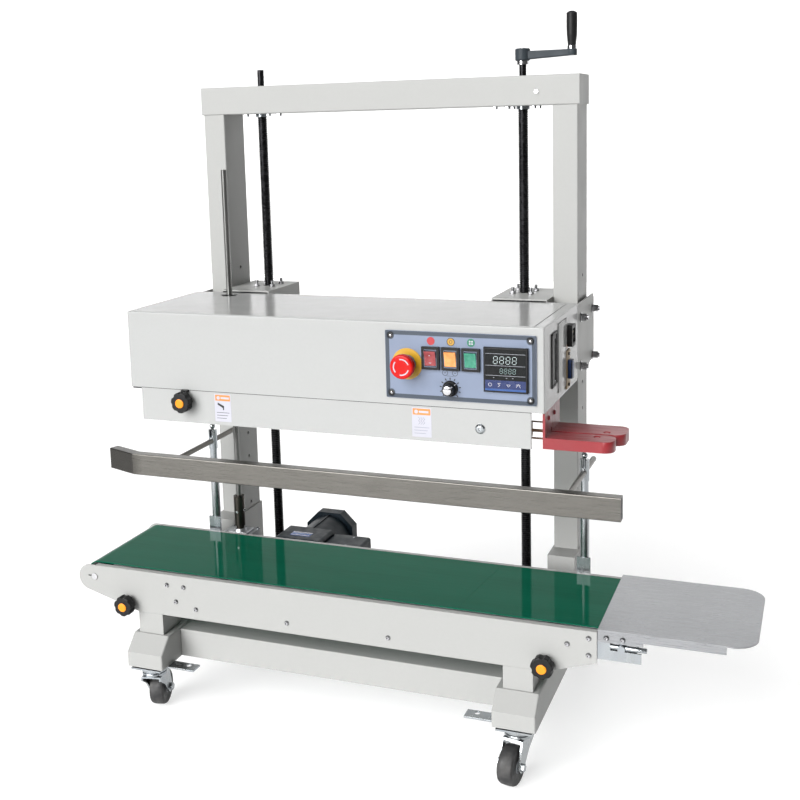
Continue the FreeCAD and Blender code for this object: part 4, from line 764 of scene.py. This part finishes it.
def switches():
    """Rocker bezels (half width, half height, rim and rise of each step), rocker marks, speed knob trim."""
    def bezels(mesh):
        for middle in ROCKER_MIDDLES:
            for half, tall, rim, rise in BEZELS:
                frame_outline(mesh, (middle.x - half, middle.z - tall), (middle.x + half, middle.z + tall),
                              rim, PANEL_FACE - 0.02, PANEL_FACE - rise)
    piece("rocker_bezels", HEAD, BLACK, bezels)

    def marks(mesh):
        middle = ROCKER_MIDDLES[0]
        face = middle.y - 2.2
        bar(mesh, (middle.x - 0.6, middle.z + 5.2), (middle.x + 0.6, middle.z + 5.2), 1.0, face - 1.5, 0.2)
        circle_line(mesh, middle.x, middle.z - 5.6, 2.0, 0.9, face + 2.0)
    piece("rocker_marks", "rocker_power", PAPER, marks)

    front = node_box("speed_knob")[0].y
    turned("speed_cap", "speed_knob", CHROME, "y", [(SPEED.x, front, SPEED.z)],
           [(0.3, 6.9), (-0.15, 6.9), (-0.3, 6.5), (-0.3, 0)])

    def pointer(mesh):
        bar(mesh, (SPEED.x + 5.6, SPEED.z + 4.6), (SPEED.x + 8.2, SPEED.z + 6.6), 0.9, front + 1.05, 0.5)
        bar(mesh, (SPEED.x + 8.2, SPEED.z + 6.6), (SPEED.x + 10.0, SPEED.z + 8.1), 0.9, front + 13.9, 0.4)
    piece("speed_pointer", "speed_knob", PAPER, pointer)


SEGMENTS = (((0, 2), (1, 2)), ((1, 1), (1, 2)), ((1, 0), (1, 1)), ((0, 0), (1, 0)),
            ((0, 0), (0, 1)), ((0, 1), (0, 2)), ((0, 1), (1, 1)))
DIGITS_IN_ROW = 4


def digit_row(mesh, x, z, width, height, face):
    """Row of seven-segment figures with every segment showing."""
    pitch = width * 1.62
    slant = 0.08
    for index in range(DIGITS_IN_ROW):
        left = x + index * pitch
        for start, end in SEGMENTS:
            first, last = (Vector((left + u * width + v / 2 * height * slant, z + v / 2 * height))
                           for u, v in (start, end))
            inset = (last - first).normalized() * (width * 0.2)
            bar(mesh, first + inset, last - inset, width * 0.12, face, 0.12)


def controller_face():
    """Temperature controller: dark window, two rows of figures, blue key strip."""
    low, high = CONTROLLER_LOW, CONTROLLER_HIGH
    left, right, foot = low.x + 3, high.x - 3, low.z + 3
    face = low.y - 0.25
    blocks("controller_window", HEAD, GLOSS_BLACK,
           ((left, face, foot), (right, low.y + 1, high.z - 3), 0.2, 1))

    def rails(mesh):
        for z in (high.z - 9.5, high.z - 28.5, high.z - 44.5):
            bar(mesh, (left + 1, z), (right - 1, z), 0.7, face, 0.1)
        for x in (low.x + 17, low.x + 38, low.x + 48):
            bar(mesh, (x - 0.7, low.z + 24), (x + 0.7, low.z + 24), 0.9, face, 0.1)
    piece("controller_rails", HEAD, PRINT_GREY, rails)
    blocks("controller_keys", HEAD, PRINT_BLUE,
           ((left, face - 0.12, foot), (right, face + 0.1, low.z + 20), 0))
    blocks("controller_strip", HEAD, PRINT_SKY, ((left, face - 0.2, foot), (right, face, low.z + 6.2), 0))
    piece("controller_value", HEAD, DIGITS,
          lambda mesh: digit_row(mesh, low.x + 16.5, high.z - 25.5, 6.3, 11.5, face))
    piece("controller_setting", HEAD, DIGITS_DIM,
          lambda mesh: digit_row(mesh, low.x + 27, high.z - 41, 4.3, 8, face))

    def signs(mesh):
        z = low.z + 12.5
        ink = face - 0.12
        circle_line(mesh, low.x + 11, z, 2.6, 0.7, ink, 0.12)
        strokes = [((23.5, 2.5), (27.5, 2.5)), ((23.5, 2.5), (27, -0.5)), ((27, -0.5), (24, -3)),
                   ((38, 1), (41, -2.6)), ((44, 1), (41, -2.6)), ((38, 1), (44, 1)),
                   ((53.5, -2.5), (57, 2.8)), ((57, 2.8), (60, -2.5)), ((53.5, 1.5), (60, 1.5))]
        for start, end in strokes:
            bar(mesh, (low.x + start[0], z + start[1]), (low.x + end[0], z + end[1]), 0.75, ink, 0.12)
    piece("controller_signs", HEAD, PAPER, signs)


panel_border()
panel_screws()
panel_print()
emergency_stop()
switches()
controller_face()

# ---- head trim

HOOD_LOW, HOOD_HIGH = node_box("head_hood")
GUARD_LOW, GUARD_HIGH = node_box("head_guard")


LID_EDGE, LID_MARGIN, LID_RISE = 3, 17, 0.8
LID_HOLE_RADIUS, LID_STEPS = 17, 48


def hood_lid():
    """Raised cover sheet on the hood's top, with a hole for the shaft and margins at the right and back."""
    centre = node_middle("drive_shaft")
    left, right = HOOD_LOW.x + LID_EDGE, HOOD_HIGH.x - LID_MARGIN
    front, back = HOOD_LOW.y + LID_EDGE, HOOD_HIGH.y - LID_MARGIN

    def edge_point(angle):
        """Where a ray from the hole's middle meets the sheet's edge, with its angle."""
        reach_x = (right if math.cos(angle) > 0 else left) - centre.x
        reach_y = (back if math.sin(angle) > 0 else front) - centre.y
        shares = ((reach_x, math.cos(angle)), (reach_y, math.sin(angle)))
        reach = min(abs(distance / share) for distance, share in shares if abs(share) > 1e-6)
        return *around(centre.x, centre.y, reach, angle), angle

    def build(mesh):
        low, high = HOOD_HIGH.z - 0.1, HOOD_HIGH.z + LID_RISE
        outer = [edge_point(2 * math.pi * step / LID_STEPS) for step in range(LID_STEPS)]
        outer += [(x, y, math.atan2(y - centre.y, x - centre.x) % (2 * math.pi))
                  for x in (left, right) for y in (front, back)]
        outer.sort(key=lambda spot: spot[2])
        inner = [around(centre.x, centre.y, LID_HOLE_RADIUS, angle) for _, _, angle in outer]
        join_loop(mesh, [[mesh.verts.new((spot[0], spot[1], z)) for spot in outline]
                         for outline, z in ((inner, low), (outer, low), (outer, high), (inner, high))])
    piece("hood_lid", HEAD, HOOD_WHITE, build, 20)


LABELS = ((149, 32), (516, 33.5))


def stickers():
    """Plain pictogram labels (distance from the guard's left end, width): orange band, sign, grey rules."""
    low, high = GUARD_LOW.z + 6.5, GUARD_HIGH.z - 3.5
    face = GUARD_LOW.y
    for index, (offset, width) in enumerate(LABELS):
        left = GUARD_LOW.x + offset
        right = left + width
        blocks(f"label_sheet_{index + 1}", HEAD, PAPER,
               ((left, face - 0.2, low), (right, face + 0.1, high), 0))
        blocks(f"label_band_{index + 1}", HEAD, PRINT_ORANGE,
               ((left + 1.5, face - 0.35, high - 12), (right - 1.5, face - 0.1, high - 1.5), 0))

        def sign(mesh):
            dot(mesh, left + 7.5, high - 6.8, 3.2, face - 0.3)
            bar(mesh, (left + 14, high - 6.8), (left + 27, high - 6.8), 3.4, face - 0.3, 0.15)
        piece(f"label_sign_{index + 1}", HEAD, PAPER, sign)

        def rules(mesh):
            ink = face - 0.2
            for row, z in enumerate((high - 33, high - 38, high - 43)):
                bar(mesh, (left + 4, z), (right - 4 - 3 * row, z), 0.8, ink, 0.1)
            middle = (left + right) / 2
            if index:
                for wave in (-4, 0, 4):
                    for part in range(4):
                        sway = 1.4 * (-1) ** part
                        bar(mesh, (middle + wave - sway, high - 16 - 3 * part),
                            (middle + wave + sway, high - 19 - 3 * part), 0.7, ink, 0.1)
            else:
                for start, end in (((-9, -17), (1, -22)), ((1, -22), (1, -27)), ((-9, -18.5), (0, -23.5))):
                    bar(mesh, (middle + start[0], high + start[1]), (middle + end[0], high + end[1]), 2.2,
                        ink, 0.1)
        piece(f"label_rules_{index + 1}", HEAD, PRINT_GREY if index else SHADE_AND_PRINT_BLACK, rules)


def guard_furniture():
    """The guard's round screw, the black tab over its knob, a strip of painted shadow in the seam under the
    hood with a small black foot under the hood's left corner, and the folded lip.
    """
    knob = node_middle("guard_knob")
    left, front, bottom = GUARD_LOW
    right, _, top = GUARD_HIGH
    turned("guard_screw", HEAD, ZINC, "y", [(right - 84, front, bottom + 27.3)],
           [(0.2, 8.2), (-0.8, 8.2), (-1.6, 7.0), (-2.8, 5.8), (-3.2, 2.6), (-2.0, 2.2), (-2.0, 0)])
    blocks("guard_tab", HEAD, BLACK,
           ((knob.x - 7, front - 6, top - 3), (knob.x + 7, front - 0.02, top + 1), 0.6))
    # painted shadow: the first thin black box stands in for the shaded gap under the hood; the second box is
    # a real black foot
    blocks("guard_seam_shadow_and_foot", HEAD, SHADE_AND_PRINT_BLACK,
           ((left + 0.5, -0.12, HOOD_LOW.z - 0.55), (right - 0.5, 1.2, HOOD_LOW.z + 0.35), 0),
           ((HOOD_LOW.x + 2, 3, HOOD_LOW.z - 3.4), (left - 1, 24, HOOD_LOW.z - 0.02), 0.4))
    blocks("guard_lip", HEAD, HOOD_WHITE,
           ((left + 3, front + 1.6, bottom + 0.2), (right - 1, front + 7, bottom + 1.6), 0.3))


def knob_caps():
    """Orange discs in the middle of the three star knobs."""
    for name in STAR_KNOBS:
        front, middle = node_box(name)[0].y, node_middle(name)
        turned(f"{name}_cap", name, ORANGE, "y", [(middle.x, front, middle.z - 0.15)],
               [(1.2, 8.1), (0.1, 8.1), (-0.25, 7.6), (-0.45, 5.5), (-0.5, 0)])


def side_furniture():
    """Coloured faces of the sockets and the fan vent on the head's right side."""
    wall = HOOD_HIGH.x
    base = HOOD_LOW.z
    vent_low, vent_high = base + 29, base + 118
    inlet_back = node_box("side_sockets")[1].y
    signal_y = inlet_back - 27

    def slab(front, back, bottom, top, start, end, bevel):
        """Box that runs outwards from start to end, measured from the hood's wall."""
        return (wall + start, front, bottom), (wall + end, back, top), bevel

    blocks("signal_shell", HEAD, BLUE_SOCKET,
           slab(signal_y - 8.2, signal_y + 8.2, base + 21.8, base + 54.2, 1.9, 10.3, 2.2))
    blocks("signal_flange", HEAD, TAN,
           slab(signal_y - 14.2, signal_y + 14.2, base + 4.8, base + 70.2, 0.02, 2.4, 0.4))
    turned("signal_screws", HEAD, BLACK_OXIDE, "x", [(wall + 2.4, signal_y, base + z) for z in (11, 64)],
           [(-0.2, 3), (2.2, 3), (2.6, 2.4), (2.6, 0)], 6)
    blocks("blank_cover", HEAD, HOOD_WHITE, slab(96.3, 156.2, base + 11.3, base + 126.7, 0.02, 1.4, 0.3))
    blocks("vent_frame", HEAD, BLACK,
           slab(47.5, 51.5, vent_low, vent_high, -1, 2.2, 0.5),
           slab(81.5, 85.5, vent_low, vent_high, -1, 2.2, 0.5),
           slab(47.5, 85.5, vent_low, vent_low + 4, -1, 2.2, 0.5),
           slab(47.5, 85.5, vent_high - 4, vent_high, -1, 2.2, 0.5),
           slab(67, 76, vent_low + 8, vent_high - 8, -3, -0.2, 0.3))
    blocks("vent_plate", HEAD, PRINT_GREY,
           slab(51, 67, vent_low + 3.5, vent_high - 3.5, -2.5, 0.8, 0.3),
           slab(76, 82, vent_low + 3.5, vent_high - 3.5, -2.5, 0.8, 0.3),
           slab(66.5, 76.5, vent_low + 3.5, vent_low + 9, -2.5, 0.8, 0.3),
           slab(66.5, 76.5, vent_high - 9, vent_high - 3.5, -2.5, 0.8, 0.3))
    pins = [(inlet_back - back, base + rise) for back, rise in ((18.1, 90), (9, 90), (13.6, 100))]
    blocks("inlet_pins", HEAD, BRASS, *[slab(y - 1, y + 1, z - 2, z + 2, 2.5, 7.5, 0.3) for y, z in pins])
    outline = [(signal_y - 14, base + 73), (signal_y, base + 73), (signal_y - 7, base + 86)]
    piece("side_label", HEAD, PRINT_ORANGE,
          lambda mesh: prism(mesh, "x", outline, wall + 0.02, wall + 0.25))


hood_lid()
stickers()
guard_furniture()
knob_caps()
side_furniture()

# ---- casters


WHEEL_CORE = [(-14.4, 6), (-14.4, 10), (-12.4, 11), (-11.6, 13), (-11.6, 21), (-12.4, 23.2),
              (12.4, 23.2), (11.6, 21), (11.6, 13), (12.4, 11), (14.4, 10), (14.4, 6)]
WHEEL_TREAD = [(-12.6, 22.8), (-12.9, 24), (-12.9, 27.5), (-11.8, 30.2), (-9, 31.6), (-4, 31.95),
               (4, 31.95), (9, 31.6), (11.8, 30.2), (12.9, 27.5), (12.9, 24), (12.6, 22.8)]


def caster_wheels():
    """Moulded wheel: grey core with a hub, black tread ring."""
    joints = {joint["name"]: joint for joint in frame["record"]["behaviour"]["joints"]}
    for name in CORNERS:
        node = f"caster_wheel_{name}"
        middle = node_middle(node)
        axis = Vector(joints[f"caster_roll_{name}"]["axis"])
        turn = Vector((0, 0, 1)).rotation_difference(axis).to_matrix()
        for label, look, profile in (("core", GREY, WHEEL_CORE), ("tread", TYRE, WHEEL_TREAD)):
            def build(mesh):
                lathe(mesh, "z", (0, 0, 0), profile, 56)
                for vert in mesh.verts:
                    vert.co = turn @ vert.co + middle
            wheel = piece(f"{node}_{label}", f"wheel_{name}", look, build, 40)
            if label == "tread":
                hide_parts(node)


caster_wheels()

# ---- conveyor and drive trim


SPLICE_RIGHT, SPLICE_WIDTH, SPLICE_SLANT = 295, 8, 22


def belt_splice():
    """Skived joint across the belt, a hair proud of its face."""
    low, high = node_box("conveyor_belt")
    near, far = low.y + 0.4, high.y - 0.4
    right = high.x - SPLICE_RIGHT

    def build(mesh):
        prism(mesh, "z", [(right - SPLICE_WIDTH, near), (right, near), (right + SPLICE_SLANT, far),
                          (right + SPLICE_SLANT - SPLICE_WIDTH, far)], high.z - 0.3, high.z + 0.18)
    piece("belt_splice", "frame", BELT, build)


def gearbox_trim():
    """Raised pad round the shaft bush on the gearbox's cast plate, and its three corner screws."""
    low, high = node_box("drive_gearbox")
    middle = node_middle("drive_shaft")
    top = high.z - 9
    blocks("gearbox_pad", "frame", ALLOY,
           ((middle.x - 22, middle.y - 13, top - 0.2), (middle.x + 20, middle.y + 22, top + 4), 2.5, 3))
    spots = ((low.x + 8, low.y + 7, top), (low.x + 8, high.y - 6, top), (middle.x + 24.5, high.y - 6, top))
    turned("gearbox_screws", "frame", ZINC, "z", spots, [(-0.2, 3.2), (2.2, 3.0), (2.8, 2.2), (2.8, 0)], 6)


def axle_slot_painted_shade():
    """Painted shade: a flat black sheet where the adjusting slot's shaded opening shows, beside the drive
    roller's axle, on the front side plate.
    """
    face = node_box("conveyor_front_plate")[0].y
    axle = node_middle("drive_roller")
    # painted shade: a thin black sheet on the plate's face, not a cut slot
    blocks("axle_slot_painted_shade", "frame", SHADE_AND_PRINT_BLACK,
           ((axle.x - 13.5, face - 0.15, axle.z - 0.2), (axle.x - 5, face + 0.1, axle.z + 2.2), 0))


def bar_plug():
    """Black push-in plug in the guide bar's right end."""
    low, high = node_box("guide_bar")
    blocks("guide_bar_plug", "guide_bar", BLACK,
           ((high.x - 8, low.y + 1.7, low.z + 1.7), (high.x - 0.5, low.y + 18.2, high.z - 1.7), 0.5))


def motor_trim():
    """Motor details: fan cowl with its rings, rating plate left blank, screws and cable gland."""
    low, high = node_box("gearmotor")
    half = (high.z - low.z) / 2
    x, z = low.x + half, low.z + half
    front, top = low.y, high.z

    def cowl(mesh):
        lathe(mesh, "y", (x, 0, z), [(high.y - 6, 30), (high.y - 0.6, 30), (high.y - 0.2, 27),
                                     (high.y - 0.2, 0)], 48)
        for radius in (12, 20, 27):
            ring_band(mesh, "y", (x, 0, z), radius - 0.8, radius + 0.8, high.y - 0.6, high.y - 0.02)
    piece("motor_cowl", "frame", BLACK, cowl)
    blocks("motor_plate", "frame", PRINT_SKY,
           ((x - 24, front + 19, top - 1.6), (x + 18, front + 38, top - 0.9), 0.2))
    blocks("motor_plate_lines", "frame", PAPER,
           ((x - 23, front + 19.8, top - 1.1), (x + 17, front + 22.4, top - 0.8), 0),
           ((x - 23, front + 34.6, top - 1.1), (x + 17, front + 37.2, top - 0.8), 0))

    def screws(mesh):
        for dx in (-42, 42):
            for dz in (-42, 42):
                lathe(mesh, "y", (x + dx, front + 67, z + dz), [(-0.5, 4), (3.4, 4), (3.8, 3.4), (3.8, 0)], 6)
        for y in (front + 17, front + 61):
            lathe(mesh, "z", (x + 94, y, z + 40), [(-0.4, 2.6), (1.2, 2.4), (1.6, 1.6), (1.6, 0)], 24)
    piece("motor_screws", "frame", ZINC, screws)
    turned("motor_gland", "frame", BLACK, "x", [(high.x - 0.5, front + 40, z + 16)],
           [(-1, 9), (5, 9), (5.4, 7.4), (12, 7.2), (13, 6), (13, 0)], 6)


def slide_linings():
    """Nylon linings between the columns and the slide pads of the head's side brackets."""
    column_low, column_high = node_box("columns")
    low, high = node_box("side_brackets")
    bottom, top = low.z + 5.8, low.z + 122.2
    outer, inner = high.x - 2.8, column_high.x - 36.8
    spans = ((column_low.y - 17.8, column_low.y - 0.25), (column_high.y + 0.25, column_high.y + 20.8))
    blocks("slide_linings", HEAD, NYLON,
           *[((left, front, bottom), (right, back, top), 0.6)
             for left, right in ((-outer, -inner), (inner, outer)) for front, back in spans])


def crank_trim():
    """Chrome collar and washer on the crank, and the ferrule under the grip."""
    arm_foot = node_box("crank_arm")[0].z
    middle, tip = node_middle("lead_screw_right"), node_box("lead_screw_right")[1].z

    def build(mesh):
        ring_band(mesh, "z", (middle.x, middle.y, 0), 6.6, 10.7, arm_foot - 0.1, arm_foot + 6.3)
        lathe(mesh, "z", (middle.x, middle.y, tip), [(3, 5), (4.6, 5), (5.4, 3.4), (5.4, 0)], 32)
    piece("crank_collar", "right_screw", CHROME, build)

    grip, grip_foot = node_middle("crank_handle"), node_box("crank_handle")[0].z

    def ferrule(mesh):
        ring_band(mesh, "z", (grip.x, grip.y, 0), 4.3, 8.2, grip_foot - 0.05, grip_foot + 5.6)
    piece("grip_ferrule", "crank_grip", CHROME, ferrule)


def joint_pins():
    """Bright cross pins of the universal joint."""
    middle = node_middle("drive_shaft")
    cross = node_box("drive_gearbox")[1].z + 36

    def build(mesh):
        for axis, offset in (("x", 1.2), ("y", -1.2)):
            lathe(mesh, axis, (middle.x, middle.y, cross + offset), [(-11.4, 0), (-11.4, 2.4), (-10.9, 2.9),
                                                                     (10.9, 2.9), (11.4, 2.4), (11.4, 0)], 24)
    piece("joint_pins", "drive_shaft", CHROME, build)


belt_splice()
joint_pins()
gearbox_trim()
axle_slot_painted_shade()
bar_plug()
motor_trim()
slide_linings()
crank_trim()

# ---- floor, light and camera


def studio_surface(name, colour, roughness, glow):
    """Even pale surface with a little light of its own."""
    floor = Surface(name, colour, roughness)
    floor.tint(floor.noise(0.7, detail=2), shade(colour, 0.985), 0.5)
    floor.set(Emission_Color=(1, 1, 1, 1), Emission_Strength=glow)
    return floor.material


FLOOR_FRONT, FLOOR_BACK, FLOOR_SIDE = -5.0, 2.6, 8.0
CURVE_RADIUS, CURVE_STEPS, WALL_TOP = 1.4, 12, 6.0
BACKDROP_RADIUS = 20
STUDIO_GREY = (0.62, 0.62, 0.62)
SUNS = (("key_light", (0.31, 0.83, -0.38), 6.7, 50), ("top_light", (-0.1, 0.25, -1.0), 0.1, 80))


def backdrop():
    """White shell round everything, which only the camera sees: it fills the view past the floor's edge."""
    mesh = bmesh.new()
    bmesh.ops.create_icosphere(mesh, subdivisions=4, radius=BACKDROP_RADIUS)
    data = mesh_data("studio_backdrop", mesh)
    data.materials.append(studio_surface("studio_backdrop", STUDIO_GREY, 0.6, 1.0))
    shell = place("studio_backdrop", data)
    shell.visible_diffuse = shell.visible_glossy = shell.visible_transmission = shell.visible_shadow = False


def studio_floor():
    """Pale floor that curves up into a wall behind."""
    mesh = bmesh.new()
    profile = [(FLOOR_FRONT, 0.0), (FLOOR_BACK, 0.0)]
    for step in range(1, CURVE_STEPS + 1):
        angle = math.radians(90 * step / CURVE_STEPS)
        profile.append((FLOOR_BACK + CURVE_RADIUS * math.sin(angle), CURVE_RADIUS * (1 - math.cos(angle))))
    profile.append((FLOOR_BACK + CURVE_RADIUS, WALL_TOP))
    rows = [[mesh.verts.new((x, y, z)) for x in (-FLOOR_SIDE, FLOOR_SIDE)] for y, z in profile]
    for first, second in zip(rows, rows[1:]):
        mesh.faces.new((first[0], first[1], second[1], second[0]))
    data = mesh_data("studio_floor", mesh)
    data.shade_smooth()
    data.materials.append(studio_surface("studio_floor", STUDIO_GREY, 0.55, 0.6))
    data.materials.append(studio_surface("studio_wall", STUDIO_GREY, 0.6, 0.2))
    for face in data.polygons:
        face.material_index = 1 if face.center.z > 0.3 else 0
    place("studio_floor", data)


def lights():
    """Two soft suns and an even sky."""
    world = bpy.data.worlds.new("soft_sky")
    bpy.context.scene.world = world
    world.use_nodes = True
    sky = world.node_tree.nodes["Background"].inputs
    sky["Color"].default_value = (1.0, 1.0, 1.0, 1.0)
    sky["Strength"].default_value = 0.12
    for name, heading, strength, softness in SUNS:
        lamp = bpy.data.lights.new(name, "SUN")
        lamp.energy = strength
        lamp.angle = math.radians(softness)
        place(name, lamp).rotation_euler = Vector(heading).to_track_quat("-Z", "Y").to_euler()


EYE = (790.7, -1728.3, 1054.0)
PAN, TILT, ROLL = 21.3029, 81.174, -1.4983


def camera():
    """Eye at handle height, to the right of the machine, with a slight roll."""
    lens = bpy.data.cameras.new("camera")
    lens.sensor_width = 36
    lens.lens = 51.99
    lens.shift_x = 0.0181
    lens.shift_y = -0.1216
    lens.clip_end = 50
    eye = place("camera", lens)
    turn = Matrix.Identity(4)
    for angle, axis in ((PAN, "Z"), (TILT, "X"), (ROLL, "Z")):
        turn = turn @ Matrix.Rotation(math.radians(angle), 4, axis)
    eye.matrix_world = Matrix.Translation(at(EYE)) @ turn
    bpy.context.scene.camera = eye


studio_floor()
backdrop()
lights()
camera()
bpy.context.scene.view_settings.view_transform = "Standard"
